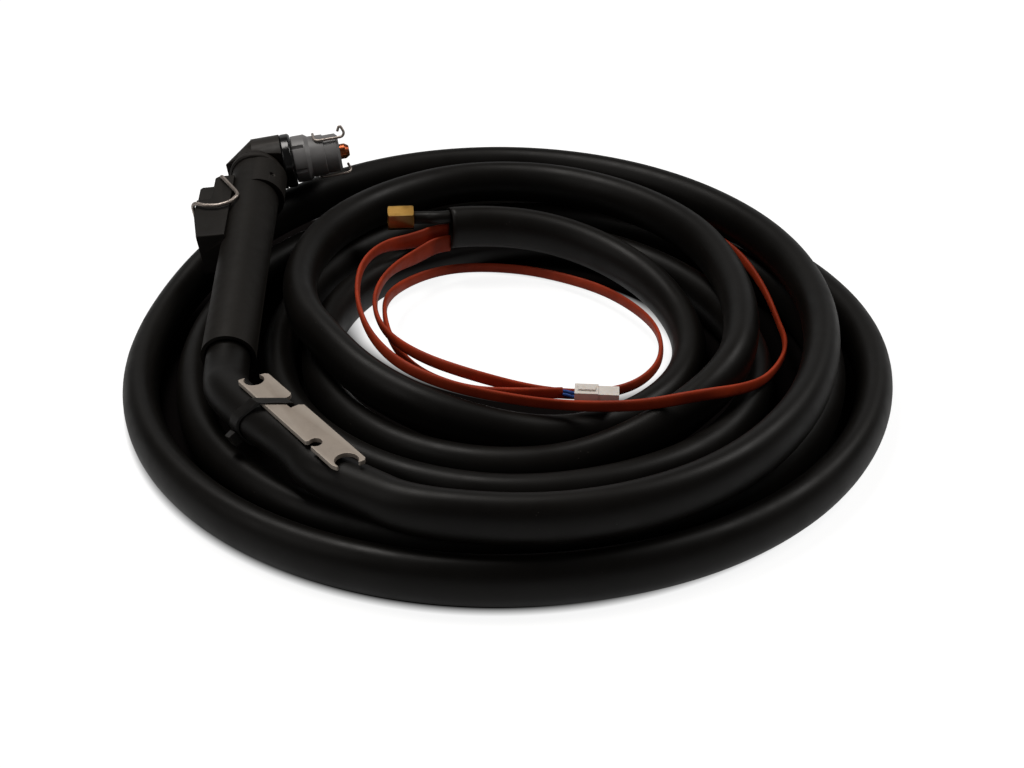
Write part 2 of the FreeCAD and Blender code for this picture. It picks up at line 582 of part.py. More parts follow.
head_turned("cathode_body", [
    (0, -size("head_bore_back") + 0.1), ("cathode_radius", -size("head_bore_back") + 0.1), ("cathode_radius", "cathode_end"),
    (size("electrode_radius") + 0.05, "cathode_end"), (size("electrode_radius") + 0.05, size("cathode_end") - 8), (0, size("cathode_end") - 8)])
head_turned("insulator_sleeve", [
    (size("cathode_radius") + 0.05, -size("head_bore_back") + 0.1), (size("sleeve_radius"), -size("head_bore_back") + 0.1),
    ("sleeve_radius", "sleeve_end"), (size("cathode_radius") + 0.05, "sleeve_end")])
head_turned("electrode", [
    (0, size("cathode_end") - 7.9), ("electrode_radius", size("cathode_end") - 7.9), ("electrode_radius", size("electrode_end") - 3),
    (size("electrode_radius") - 1.4, "electrode_end"), ("insert_radius", "electrode_end"),
    ("insert_radius", size("electrode_end") - 2.5), (0, size("electrode_end") - 2.5)])
head_turned("electrode_insert", [
    (0, size("electrode_end") - 2.5), (size("insert_radius"), size("electrode_end") - 2.5),
    (size("insert_radius"), "electrode_end"), (0, "electrode_end")])
head_turned("swirl_ring", [
    ("swirl_bore", "swirl_start"), (size("swirl_radius") - 0.6, "swirl_start"), ("swirl_radius", size("swirl_start") + 0.6),
    ("swirl_radius", "swirl_end"), ("swirl_bore", "swirl_end")])
wall = size("nozzle_wall")
head_turned("nozzle", [
    ("nozzle_seat_radius", "nozzle_start"),
    ("nozzle_seat_radius", size("nozzle_start") + 4.6), ("nozzle_neck_radius", size("cap_inner_end") - 0.1),
    ("nozzle_neck_radius", size("nozzle_tip") - 2.6), ("nozzle_tip_radius", "nozzle_tip"), ("orifice_radius", "nozzle_tip"),
    ("orifice_radius", size("nozzle_tip") - 4), (size("nozzle_neck_radius") - wall + 0.4, size("nozzle_tip") - 7.4),
    (size("nozzle_neck_radius") - wall + 1.0, "nozzle_start")])
o_ring_points = []
for k in range(8):
    t = 2 * math.pi * k / 8
    section = size("o_ring_section")
    o_ring_points.append((size("o_ring_radius") + section * math.cos(t), size("o_ring_s") + section * math.sin(t)))
head_turned("cap_o_ring", o_ring_points)

gas_tube = new_body("gas_tube")
turn(gas_tube, "gas_tube_shape", [
    (size("gas_tube_radius") - 0.8, "gas_tube_start"), ("gas_tube_radius", "gas_tube_start"),
    ("gas_tube_radius", "gas_tube_end"), (size("gas_tube_radius") - 0.8, "gas_tube_end")])
keep(gas_tube, "gas_tube", TORCH)
clamp = new_body("lead_clamp")
turn(clamp, "lead_clamp_shape", [
    (size("lead_radius") + 0.05, "clamp_start"), ("clamp_radius", "clamp_start"),
    ("clamp_radius", size("clamp_start") + size("clamp_length")), (size("lead_radius") + 0.05, size("clamp_start") + size("clamp_length"))])
keep(clamp, "lead_clamp", TORCH)
inner = new_body("lead_inner")
turn(inner, "lead_inner_shape", [
    (0, 0), ("lead_radius", 0), ("lead_radius", "lead_inner_length"), (0, "lead_inner_length")])
keep(inner, "lead_inner", TORCH)

# Stand-off clip of bent wire on the cap
R = num("clip_radius")
a1, a2 = num("clip_leg_one"), num("clip_leg_two")
s0, s1 = num("clip_ring_s"), num("clip_tip_s")


def on_cap(angle, s, radius=R):
    t = math.radians(angle)
    return (radius * math.cos(t), radius * math.sin(t), s)


clip_route = [(-2.6, 16.6, 53.4), (-0.35, 20.2, 55.6), on_cap(a1, s1, R + 0.2), on_cap(a1, s0 + 3.0)]
steps = 8
span = a1 + 360 - a2
for k in range(steps + 1):
    angle = a1 - span * k / steps
    lift = 0.5 if k in (0, steps) else 0.0
    reach = R / math.cos(math.radians(span / steps / 2)) if 0 < k < steps else R + 0.3
    clip_route.append(on_cap(angle, s0 + lift, reach))
clip_route += [on_cap(a2, s0 + 3.0), on_cap(a2, s1, R + 0.2), (-1.6, -8.6, 56.6)]
clip_route = [p for k, p in enumerate(clip_route) if k not in (3, len(clip_route) - 3)]
tube("standoff_clip", clip_route, "clip_wire", HEAD, limit=13.9, sides=10)

# The lead: turns as (angle, radius, height of the centre), one level on the floor and one on top of it
LOW, HIGH = num("coil_floor"), num("coil_raised")
STATIONS = [
    (-111, 186, HIGH), (-90, 201, HIGH), (-55, 198, HIGH), (-23, 185, HIGH), (0, 183, HIGH), (45, 189, HIGH), (90, 195.5, HIGH),
    (115, 194.5, HIGH), (130, 193.5, 39.5), (144, 196, 34.5), (154, 199, 28), (164, 202, 20), (174, 204, 14.5), (184, 205, LOW), (200, 207, LOW), (225, 209, LOW), (270, 208.5, LOW),
    (315, 214, LOW), (360, 217, LOW), (405, 204, LOW), (450, 187, LOW), (495, 178, LOW), (540, 173, LOW),
    (563, 180, LOW), (585, 185, LOW), (630, 187.5, LOW), (675, 190.5, LOW), (720, 190.5, LOW), (765, 180, LOW),
    (800, 168, LOW), (822, 162, LOW), (848, 149, LOW), (870, 135, LOW), (890, 129.5, LOW), (910, 128, LOW), (935, 132, LOW),
    (960, 138, LOW), (990, 146, LOW), (1012, 149, LOW), (1043, 155, LOW), (1080, 147, LOW), (1110, 138.5, LOW),
    (1140, 138.5, LOW), (1165, 137.5, LOW), (1190, 126.5, LOW), (1212, 115.5, LOW), (1232, 108, LOW), (1252, 104.5, LOW),
    (1275, 105.5, LOW), (1305, 112, LOW), (1347, 122.5, LOW), (1376, 125, LOW), (1400, 138, 34), (1420, 143, HIGH),
    (1440, 137, HIGH + 1), (1480, 152, HIGH + 1), (1530, 170, HIGH + 1), (1570, 148, HIGH + 1), (1600, 126, HIGH + 0.4),
    (1620, 114, HIGH + 0.4), (1637, 103.5, HIGH + 0.4), (1655, 99.5, 39), (1685, 101, 33), (1700, 101.5, 27), (1716, 101.5, 20),
    (1735, 103.5, 14), (1760, 107, LOW), (1800, 112, 14), (1845, 113, 25), (1885, 112, 36), (1907, 111, 38.4)]


def smooth_through(table, column):
    """A monotone cubic through the stations' values; no overshoot between neighbours."""
    xs = [row[0] for row in table]
    ys = [row[column] for row in table]
    count = len(xs)
    gaps = [xs[k + 1] - xs[k] for k in range(count - 1)]
    slopes = [(ys[k + 1] - ys[k]) / gaps[k] for k in range(count - 1)]
    tangent = [slopes[0]] + [0.0] * (count - 2) + [slopes[-1]]
    for k in range(1, count - 1):
        if slopes[k - 1] * slopes[k] > 0:
            w1 = 2 * gaps[k] + gaps[k - 1]
            w2 = gaps[k] + 2 * gaps[k - 1]
            tangent[k] = (w1 + w2) / (w1 / slopes[k - 1] + w2 / slopes[k])

    def value(x):
        k = 0
        while k < count - 2 and x > xs[k + 1]:
            k += 1
        t = (x - xs[k]) / gaps[k]
        h = gaps[k]
        return (ys[k] * (2 * t ** 3 - 3 * t ** 2 + 1) + tangent[k] * h * (t ** 3 - 2 * t ** 2 + t)
                + ys[k + 1] * (3 * t ** 2 - 2 * t ** 3) + tangent[k + 1] * h * (t ** 3 - t ** 2))

    return value


radius_at = smooth_through(STATIONS, 1)
height_at = smooth_through(STATIONS, 2)


def lead_point(angle):
    t = math.radians(angle)
    r = radius_at(angle)
    return Vector(r * math.cos(t), r * math.sin(t), height_at(angle))


def lead_heading(angle):
    return (lead_point(angle + 0.5) - lead_point(angle - 0.5)).normalize()


def biarc(p1, t1, p2, t2):
    """Two tangent arcs between two points with given headings."""
    v = p2 - p1
    a = 2 * (t1.dot(t2) - 1)
    b = -2 * v.dot(t1 + t2)
    c = v.dot(v)
    if abs(a) < 1e-9:
        d = -c / b
    else:
        d = (-b - math.sqrt(b * b - 4 * a * c)) / (2 * a)
    joint = (p1 + p2 + (t1 - t2) * d) * 0.5
    return [arc_from(p1, t1, joint), arc_from(joint, None, p2, t2)]


def arc_from(p, heading_in, q, heading_out=None):
    """An arc (or a line, when straight) leaving p along a heading, or reaching q along one."""
    chord = q - p
    t = heading_in if heading_in is not None else heading_out
    if chord.getAngle(t) < 1e-4:
        return Part.LineSegment(p, q).toShape()
    normal = t.cross(chord).normalize()
    side = normal.cross(t)
    base = p if heading_in is not None else q
    other = q if heading_in is not None else p
    delta = other - base
    radius = delta.dot(delta) / (2 * delta.dot(side))
    centre = base + side * radius
    middle = (p + q) * 0.5 - centre
    middle = centre + middle.normalize() * abs(radius)
    return Part.Arc(p, middle, q).toShape()


first, last = STATIONS[0][0], STATIONS[-1][0]
count = 96
oval_sides = 12
angles = [first + (last - first) * k / count for k in range(count + 1)]
edges = []
start_point, start_heading = lead_point(angles[0]), lead_heading(angles[0] + 0.5)
for k in range(count):
    p1, p2 = lead_point(angles[k]), lead_point(angles[k + 1])
    t1 = lead_heading(angles[k] if k else angles[0] + 0.5)
    t2 = lead_heading(angles[k + 1] if k < count - 1 else angles[-1] - 0.5)
    edges += biarc(p1, t1, p2, t2)
coil_start, coil_start_heading = lead_point(first), lead_heading(first + 0.5)
coil_end, coil_end_heading = lead_point(last), lead_heading(last - 0.5)
coil_path = Part.Wire(edges)
shortest = min(e.Curve.Radius for e in edges if hasattr(e.Curve, "Radius"))
coil_out = coil_start_heading.cross(Vector(0, 0, 1)).normalize()
coil_up = coil_out.cross(coil_start_heading)
oval = faceted(coil_start, coil_up, coil_out, num("oval_half_height"), num("oval_half_width"), oval_sides)
pipe = Part.BRepOffsetAPI.MakePipeShell(coil_path)
pipe.add(oval)
pipe.build()
pipe.makeSolid()
coil_shape = pipe.shape()
below = Part.makeBox(600, 600, 20, Vector(-300, -300, -20))
coil_shape = coil_shape.cut(below)
if coil_shape.ShapeType == "Compound":
    coil_shape = coil_shape.Solids[0]
area = Part.Face(oval).Area
print(f"lead_coil: length {coil_path.Length:.1f} mm, least arc radius {shortest:.1f} mm, volume share {coil_shape.Volume / area / coil_path.Length:.4f}")


def least_gap():
    """The least distance between two turns, on points of the lead's centre line, less the oval section."""
    step = 6.0
    data = coil_path.discretize(Distance=step)
    best = (1e9, 0, 0)
    for i in range(len(data)):
        j = i + 30
        while j < len(data):
            flat = math.hypot(data[i].x - data[j].x, data[i].y - data[j].y)
            rise = abs(data[i].z - data[j].z)
            if flat < 45 and rise < 45:
                angle = math.atan2(rise, flat)
                reach = 1 / math.hypot(math.cos(angle) / num("oval_half_width"), math.sin(angle) / num("oval_half_height"))
                gap = math.hypot(flat, rise) - 2 * reach
                if gap < best[0]:
                    best = (gap, step * i, step * j)
            j += 1
    return best


gap, at_one, at_two = least_gap()
print(f"lead_coil: least gap between turns {gap:.2f} mm, at {at_one:.0f} and {at_two:.0f} mm along the lead")
coil = doc.addObject("Part::Feature", "lead_coil")
coil.Shape = coil_shape
coil.addProperty("App::PropertyLength", "OvalHeight")
coil.setExpression("OvalHeight", (size("oval_half_height") * 2).text)
keep(coil, "lead_coil", WORLD)

# Free stretch of the lead, from the handle's mouth to the first turn
ahead = coil_start - coil_start_heading * 24
free_route = [tuple(mouth), tuple(mouth - axis_z * 18), (-141.5, -93, 41.5), (-119, -121, 43), (-96, -145, 43), tuple(ahead), tuple(coil_start)]
tube("lead_free", free_route, "lead_radius", sides=16)

# Hose end with its union nut
nut_dir = Vector(math.cos(math.radians(num("nut_heading"))), math.sin(math.radians(num("nut_heading"))), 0.02).normalize()
nut_place = Placement(Vector(num("nut_x"), num("nut_y"), num("nut_z")), Rotation(Vector(0, 0, 1), nut_dir))
hose_end = Vector(num("nut_x"), num("nut_y"), num("nut_z")) - nut_dir * (num("nut_length") / 2 + 0.1)
end_faces = [f for f in coil_shape.Faces if f.Surface.TypeId == "Part::GeomPlane" and (f.CenterOfMass - coil_end).Length < 3]
if len(end_faces) != 1:
    raise RuntimeError("the lead's cut end was not found")
coil_end = end_faces[0].CenterOfMass
normal = end_faces[0].normalAt(0, 0)
coil_end_heading = normal if normal.dot(coil_end_heading) > 0 else normal * -1
end_out = coil_end_heading.cross(Vector(0, 0, 1)).normalize()
end_up = end_out.cross(coil_end_heading)
hose_start = coil_end + end_up * 8.0
tube("gas_hose", [
    tuple(hose_start), tuple(hose_start + coil_end_heading * 8), tuple(hose_end - nut_dir * 8), tuple(hose_end)],
    "hose_radius", sides=16)
nut = new_body("union_nut")
sk = sketch_on(nut, "union_nut_outline", "XY_Plane", -size("nut_length") * 0.5)
corners = []
for k in range(6):
    corners.append((size("nut_across_flats") * (math.cos(math.radians(60 * k + 12)) / math.sqrt(3)),
                    size("nut_across_flats") * (math.sin(math.radians(60 * k + 12)) / math.sqrt(3))))
polygon(sk, corners)
pad(nut, "union_nut_hexagon", sk, "nut_length")
nut_half = size("nut_length") * 0.5
flat = size("nut_across_flats") * 0.5
turn(nut, "union_nut_chamfer_front", [
    (flat + 0.1, nut_half + 0.2), (flat + 2, nut_half + 0.2), (flat + 2, nut_half - 1.6)], cut=True)
turn(nut, "union_nut_chamfer_back", [
    (flat + 0.1, -nut_half - 0.2), (flat + 2, -nut_half - 0.2), (flat + 2, -nut_half + 1.6)], cut=True)
thread_end = nut_half - size("nut_thread_length")
seat = thread_end - size("nut_relief")
turn(nut, "union_nut_thread", [
    (0, nut_half + 1), ("nut_thread_radius", nut_half + 1), ("nut_thread_radius", thread_end),
    (size("nut_thread_radius") + 0.4, thread_end), (size("nut_thread_radius") + 0.4, seat), (0, seat)], cut=True)
turn(nut, "union_nut_bore", [
    (0, 0), ("nut_bore_radius", 0), ("nut_bore_radius", -nut_half - 1), (0, -nut_half - 1)], cut=True)
keep(nut, "union_nut", nut_place)
nipple = new_body("hose_nipple")
turn(nipple, "hose_nipple_shape", [
    (1.5, -nut_half), ("nipple_radius", -nut_half), ("nipple_radius", seat + 0.05), ("nipple_flange_radius", seat + 0.05),
    ("nipple_flange_radius", seat + 0.05 + size("nipple_flange")), (3.2, seat + size("nut_relief") - 0.1), (1.5, seat + size("nut_relief") - 0.1)])
keep(nipple, "hose_nipple", nut_place)

# The two flat leads in orange sleeve, one bare at its end and one with the connector
SLEEVE_B = [
    (-54, 94, 35.5), (-74, 76, 41), (-83, 48, 44), (-83.5, 16, 46.5), (-79, -18, 48.5), (-68, -52, 49), (-50, -77, 47.5),
    (-22, -90, 43), (14, -95.5, 38.5), (44, -97.5, 36.5), (76, -101, 39.4), (104, -107, 50), (128, -87, 40), (146, -64, 31),
    (160, -38, 29), (167, -8, 22), (168.5, 20, 16), (165, 50, 21), (156, 79, 27.5), (143, 103, 30.5), (130, 122, 30.5)]
SLEEVE_A = [
    (-52, 86, 29), (-66, 62, 33), (-73, 33, 36), (-73, 2, 38), (-63, -32, 41), (-42, -61, 44), (-12, -75, 41),
    (20, -76, 32), (50, -74, 28), (74, -60, 24), (90, -34, 20), (96, -4, 16), (94, 24, 14), (82, 52, 12), (64, 77, 10),
    (38, 97, 8), (12, 109, 7), (-20, 110, 8), (-44, 97, 11), (-62, 73, 15), (-70, 44, 21), (-68, 12, 27), (-61, -24, 31),
    (-45, -58, 33), (-18, -79, 34.5), (10, -85.5, 36.8), (34.5, -86.6, 38)]
start_b = coil_end - end_up * 3.5 + end_out * 2.0
start_a = coil_end - end_up * 9.6 - end_out * 2.5
SLEEVE_B = [tuple(start_b), tuple(start_b + coil_end_heading * 9)] + SLEEVE_B
SLEEVE_A = [tuple(start_a), tuple(start_a + coil_end_heading * 9)] + SLEEVE_A
tube("orange_lead_b", SLEEVE_B, "flat_lead_radius", sides=10)
tube("orange_lead_a", SLEEVE_A, "flat_lead_radius", sides=10)
lead_a_end = Vector(*SLEEVE_A[-1])
a_dir = (lead_a_end - Vector(*SLEEVE_A[-2])).normalize()
a_side = Vector(0, 0, 1).cross(a_dir).normalize()
connector_dir = Vector(math.cos(math.radians(num("connector_heading"))), math.sin(math.radians(num("connector_heading"))), 0)
connector_origin = Vector(num("connector_x"), num("connector_y"), num("connector_z"))
connector_place = Placement(connector_origin, Rotation(Vector(0, 0, 1), num("connector_heading")))
side_vec = Vector(-connector_dir.y, connector_dir.x, 0)
for tag, sign in (("left", 1), ("right", -1)):
    begin = lead_a_end + a_side * (sign * 1.6) + a_dir * 0.05
    finish = connector_origin - connector_dir * (num("connector_length") / 2) + side_vec * (sign * num("contact_pitch") / 2)
    wire_route = [tuple(begin), tuple(begin + a_dir * 1.6), tuple(finish - connector_dir * 1.6), tuple(finish)]
    tube("blue_wire_" + tag, wire_route, "blue_wire_radius", sides=10)

connector = new_body("connector_housing")
half_l = size("connector_length") * 0.5
sk = sketch_on(connector, "connector_block_outline", "XY_Plane", -size("connector_height") * 0.5)
box_outline(sk, -half_l, -size("connector_width") * 0.5, half_l, size("connector_width") * 0.5)
pad(connector, "connector_block", sk, "connector_height")
sk = sketch_on(connector, "connector_shroud_outline", "XY_Plane", -size("shroud_height") * 0.5)
box_outline(sk, half_l - 1, -size("shroud_width") * 0.5, half_l + size("shroud_length"), size("shroud_width") * 0.5)
pad(connector, "connector_shroud", sk, "shroud_height")
sk = sketch_on(connector, "connector_latch_outline", "XY_Plane", size("connector_height") * 0.5)
box_outline(sk, -half_l + 2, -2.2, half_l - 1.5, 2.2)
pad(connector, "connector_latch", sk, 1.1)
sk = sketch_on(connector, "connector_mouth_outline", "YZ_Plane", half_l + 2)
hw, hh = size("shroud_width") * 0.5 - size("shroud_wall"), size("shroud_height") * 0.5 - size("shroud_wall")
box_outline(sk, -hw, -hh, hw, hh)
pad(connector, "connector_mouth", sk, 20, cut=True, back=True)
for tag, sign in (("a", 1), ("b", -1)):
    sk = sketch_on(connector, "connector_pin_hole_" + tag, "YZ_Plane", 0)
    ring(sk, size("contact_pitch") * (0.5 * sign), 0, size("contact_radius") + 0.05)
    pad(connector, "connector_pin_bore_" + tag, sk, 12, cut=True, back=True)
keep(connector, "connector_housing", connector_place)
for tag, sign in (("a", 1), ("b", -1)):
    contact = new_body("contact_pin_" + tag)
    sk = sketch_on(contact, "contact_pin_outline_" + tag, "YZ_Plane", 0.05)
    ring(sk, size("contact_pitch") * (0.5 * sign), 0, "contact_radius")
    pad(contact, "contact_pin_body_" + tag, sk, half_l + 5.5)
    keep(contact, "contact_pin_" + tag, connector_place)

# Flat spanner cut from sheet, with an open jaw at each end and one in its side
spanner = new_body("flat_spanner")
sk = sketch_on(spanner, "flat_spanner_outline", "XY_Plane")
hw, length = size("wrench_half_width"), size("wrench_length")
polygon(sk, [
    (0, -hw + 0.6), (1.2, -hw), (length - 6, -hw), (length - 3.2, -hw + 1.2), (length - 3.2, -hw + 4.6), (length - 0.8, 3.4),
    (length, 4.2), (length, hw - 1.4), (length - 1.6, hw), (40, hw), (38.2, 5.6), (38.2, 1.2), (30, 0.6), (28.6, 6.6), (27, hw),
    (4, hw), (2.4, hw - 1.6), (2.0, 3.6), (0, -hw + 2.8)])
pad(spanner, "flat_spanner_plate", sk, "wrench_thick")
sk = sketch_on(spanner, "flat_spanner_jaw_one", "XY_Plane", -1)
ring(sk, 4.6, -0.9, "wrench_jaw_one")
pad(spanner, "flat_spanner_cut_one", sk, 6, cut=True, back=True)
sk = sketch_on(spanner, "flat_spanner_jaw_two", "XY_Plane", -1)
ring(sk, length - 5.0, -0.3, "wrench_jaw_two")
pad(spanner, "flat_spanner_cut_two", sk, 6, cut=True, back=True)
sk = sketch_on(spanner, "flat_spanner_jaw_side", "XY_Plane", -1)
ring(sk, 71.5, -hw + 3.6, "wrench_side_jaw")
pad(spanner, "flat_spanner_cut_side", sk, 6, cut=True, back=True)
sk = sketch_on(spanner, "flat_spanner_side_gap", "XY_Plane", -1)
polygon(sk, [(67.2, -hw - 1), (72.8, -hw - 1), (73.6, -hw + 3), (69.6, -hw + 3)])
pad(spanner, "flat_spanner_cut_gap", sk, 6, cut=True, back=True)
spanner_place = Placement(Vector(num("wrench_x"), num("wrench_y"), num("wrench_bottom")), Rotation(Vector(0, 0, 1), num("wrench_heading")))
keep(spanner, "flat_spanner", spanner_place)

# Cable tie round the lead and the spanner's waist
along = num("tie_along")
spanner_dir = Vector(math.cos(math.radians(num("wrench_heading"))), math.sin(math.radians(num("wrench_heading"))), 0)
spanner_side = Vector(-spanner_dir.y, spanner_dir.x, 0)
tie_point = Vector(num("wrench_x"), num("wrench_y"), 0) + spanner_dir * along
doc.recompute()
free_wire = rounded_route(free_route)[0]
near = min((e.distToShape(Part.Vertex(tie_point.x, tie_point.y, 43))[0], k) for k, e in enumerate(free_wire.Edges))
tie_edge = free_wire.Edges[near[1]]
tie_centre = tie_edge.distToShape(Part.Vertex(tie_point.x, tie_point.y, 43))[1][0][0]
tie_tangent = tie_edge.tangentAt(tie_edge.Curve.parameter(tie_centre))
tie_dir = Vector(tie_tangent.x, tie_tangent.y, 0).normalize()
tie_side = Vector(-tie_dir.y, tie_dir.x, 0)
print("tie at", [round(c, 1) for c in tie_centre], "heading", round(math.degrees(math.atan2(tie_dir.y, tie_dir.x)), 1))
offset = (tie_point - tie_centre).dot(tie_side)


def hull_outline(grow):
    """The tie's outline round the lead's circle and the spanner's section, as a wire in the local XY plane."""
    r = num("lead_radius") + 0.15 + grow
    top = num("wrench_bottom") + num("wrench_thick") + 0.05 + grow - tie_centre.z
    left, right = offset - 8.6 - grow, offset + 2.1 + grow
    corners = [Vector(right, top, 0), Vector(left, top, 0)]
    spots = []
    for corner, sign in ((corners[0], -1), (corners[1], 1)):
        dist = corner.Length
        base = math.atan2(corner.y, corner.x)
        turn_by = math.acos(min(1.0, r / dist))
        t = base + sign * turn_by
        spots.append(Vector(r * math.cos(t), r * math.sin(t), 0))
    low_point = Vector(0, -r, 0)
    return Part.Wire([
        Part.LineSegment(corners[0], corners[1]).toShape(), Part.LineSegment(corners[1], spots[1]).toShape(),
        Part.Arc(spots[1], low_point, spots[0]).toShape(), Part.LineSegment(spots[0], corners[0]).toShape()])


outer = Part.Face(hull_outline(num("tie_thick")))
hole = Part.Face(hull_outline(0.0))
tie_reach = 40.0
band = outer.cut(hole).extrude(Vector(0, 0, tie_reach * 2))
band.translate(Vector(0, 0, -tie_reach))
tie_place = Placement(tie_centre, Rotation(tie_side, Vector(0, 0, 1), tie_dir, "ZYX"))
band.Placement = tie_place.multiply(band.Placement)
# The strap crosses the lead askew: it is the part of that band between two upright planes
tie_heading = math.radians(num("tie_heading"))
strap_normal = Vector(math.cos(tie_heading), math.sin(tie_heading), 0)
strap_across = Vector(-strap_normal.y, strap_normal.x, 0)
strap_point = tie_centre + tie_side * (offset + 2.1)
width = num("tie_width")
slab = Part.makeBox(2 * tie_reach, 2 * tie_reach, width, Vector(-tie_reach, -tie_reach, -width / 2))
slab.Placement = Placement(strap_point, Rotation(strap_across, Vector(0, 0, 1), strap_normal, "ZYX")).multiply(slab.Placement)
strap = band.common(slab)
tie = doc.addObject("Part::Feature", "tie_band")
tie.Shape = strap.Solids[0]
tie.addProperty("App::PropertyLength", "BandWidth")
tie.setExpression("BandWidth", size("tie_width").text)
keep(tie, "tie_band", WORLD)

# Its head lies on the strap, on the lead's outer side
head_turn = math.radians(num("tie_head_turn"))
head_out = tie_side * math.cos(head_turn) + Vector(0, 0, 1) * math.sin(head_turn)
head_run = strap_normal.cross(head_out).normalize()
head_seat = num("lead_radius") + 0.15 + num("tie_thick") + 0.05
head_side = head_seat * math.cos(head_turn) - (offset + 2.1)
head_along = -head_side * strap_normal.dot(tie_side) / strap_normal.dot(tie_dir)
head_point = tie_centre + head_out * head_seat + tie_dir * head_along
lock = new_body("tie_head")
sk = sketch_on(lock, "tie_head_outline", "XZ_Plane")
box_outline(sk, 0, -size("tie_width") * 0.5 - 1.2, 4.4, size("tie_width") * 0.5 + 1.2)
pad(lock, "tie_head_block", sk, "tie_head", middle=True)
keep(lock, "tie_head", Placement(head_point, Rotation(head_out, head_run, head_out.cross(head_run), "XYZ")))
print("tie head at", [round(c, 1) for c in head_point])

# Checks and export
doc.recompute()
os.makedirs("parts", exist_ok=True)
for obj in doc.Objects:
    bad = [s for s in obj.State if s in ("Invalid", "Error")]
    if bad:
        raise RuntimeError(f"{obj.Label} is {bad}")
for obj in made:
    shape = obj.Shape
    if shape.isNull() or not shape.isValid():
        raise RuntimeError("bad shape: " + obj.Label)
    if len(shape.Solids) != 1:
        raise RuntimeError(f"{obj.Label} has {len(shape.Solids)} solids")
    shape.exportStep(f"parts/{obj.Label}.step")
print(len(made), "parts written")
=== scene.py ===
import math

import bmesh
import bpy
from mathutils import Matrix, Vector


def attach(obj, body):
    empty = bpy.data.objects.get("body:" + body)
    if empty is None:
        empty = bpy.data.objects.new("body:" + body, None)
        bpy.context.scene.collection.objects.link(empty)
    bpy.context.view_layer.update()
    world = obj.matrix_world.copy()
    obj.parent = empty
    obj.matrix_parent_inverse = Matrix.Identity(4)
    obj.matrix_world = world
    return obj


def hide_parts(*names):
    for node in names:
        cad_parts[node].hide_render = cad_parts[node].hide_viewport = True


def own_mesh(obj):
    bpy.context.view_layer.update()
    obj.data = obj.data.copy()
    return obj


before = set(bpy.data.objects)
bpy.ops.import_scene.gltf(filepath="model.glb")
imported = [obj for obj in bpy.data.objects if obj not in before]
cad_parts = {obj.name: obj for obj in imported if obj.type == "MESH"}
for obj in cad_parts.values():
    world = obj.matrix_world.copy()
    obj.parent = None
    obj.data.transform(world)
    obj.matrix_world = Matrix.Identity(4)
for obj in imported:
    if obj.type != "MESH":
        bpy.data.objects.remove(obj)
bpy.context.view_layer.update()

bl_info = {
    "name": "Cutting torch set",
    "version": (1, 0, 0),
    "blender": (4, 5, 0),
    "location": "3D View > Sidebar > Torch",
    "description": "Dresses a hand cutting torch that lies on its own coiled lead",
    "category": "Object",
}

MM = 0.001

# Camera of the photograph
CAMERA_TARGET = Vector((7.64, -19.32, 0.0)) * MM
CAMERA_DISTANCE = 0.830
CAMERA_ELEVATION = math.radians(32.916)
CAMERA_LENS, CAMERA_SENSOR = 50, 36
CAMERA_CLIP = (0.01, 50)

# Stage: paper, the colour of the shade painted on it, its glow to the camera and in mirrors, and the size of
# floor and backdrop
PAPER = (0.30, 0.298, 0.296)
SHADED_PAPER = (0.006, 0.005, 0.005)
PAPER_GLOW = 0.90
MIRRORED_GLOW = 0.35
FLOOR_SIZE = 8
FLOOR_DEPTH = -0.0002
BACKDROP_EDGE = 3.9
BACKDROP_RISE = (0, 1.5, 4)

# Shade painted on the floor, not cast by the lamps: round under all turns, an oval of open paper in the middle,
# an oval under the raised turn
SHADE_REACH, SHADE_FADE = 0.2125, 0.006
OPEN_MIDDLE, OPEN_HALVES, OPEN_TURN = (8, 42), (103, 70), math.radians(-24)
OPEN_FADE = (0.96, 1.12)
RAISED_MIDDLE, RAISED_HALVES, RAISED_TURN = (-110, 140), (92, 73), math.radians(38)
RAISED_FADE = (0.80, 1.20)

# Light: the world's fill and the soft lamps, each with name, place, size, power and colour
WORLD_COLOUR = (1.0, 0.985, 0.965)
WORLD_FILL = 0.065
LAMP_AIM = Vector((0, 0, 0.03))
LAMPS = (
    ("key_softbox", (-0.40, 0.25, 1.25), 0.50, 7.6, (1.0, 0.97, 0.93)),
    ("right_softbox", (0.85, 0.25, 1.00), 0.45, 4.6, (1.0, 0.98, 0.95)),
    ("left_fill", (-1.00, -0.55, 0.80), 0.60, 1.5, (1.0, 0.97, 0.94)))

# The torch's own axes in the shared frame
TORCH_X = Vector((-0.9957, -0.0339, -0.0866))
TORCH_Y = Vector((-0.0806, -0.1489, 0.9856))
TORCH_Z = Vector((-0.0463, 0.9883, 0.1456))
MOUTH = Vector((-146.94, -57.27, 41.94)) * MM
HEAD_CENTRE = 191.7 * MM
HEAD_TURN = math.radians(81.3)
TORCH = Matrix.Translation(MOUTH) @ Matrix((TORCH_X, TORCH_Y, TORCH_Z)).transposed().to_4x4()
HEAD = TORCH @ Matrix.Translation((0, 0, HEAD_CENTRE)) @ Matrix.Rotation(-HEAD_TURN, 4, "Y")

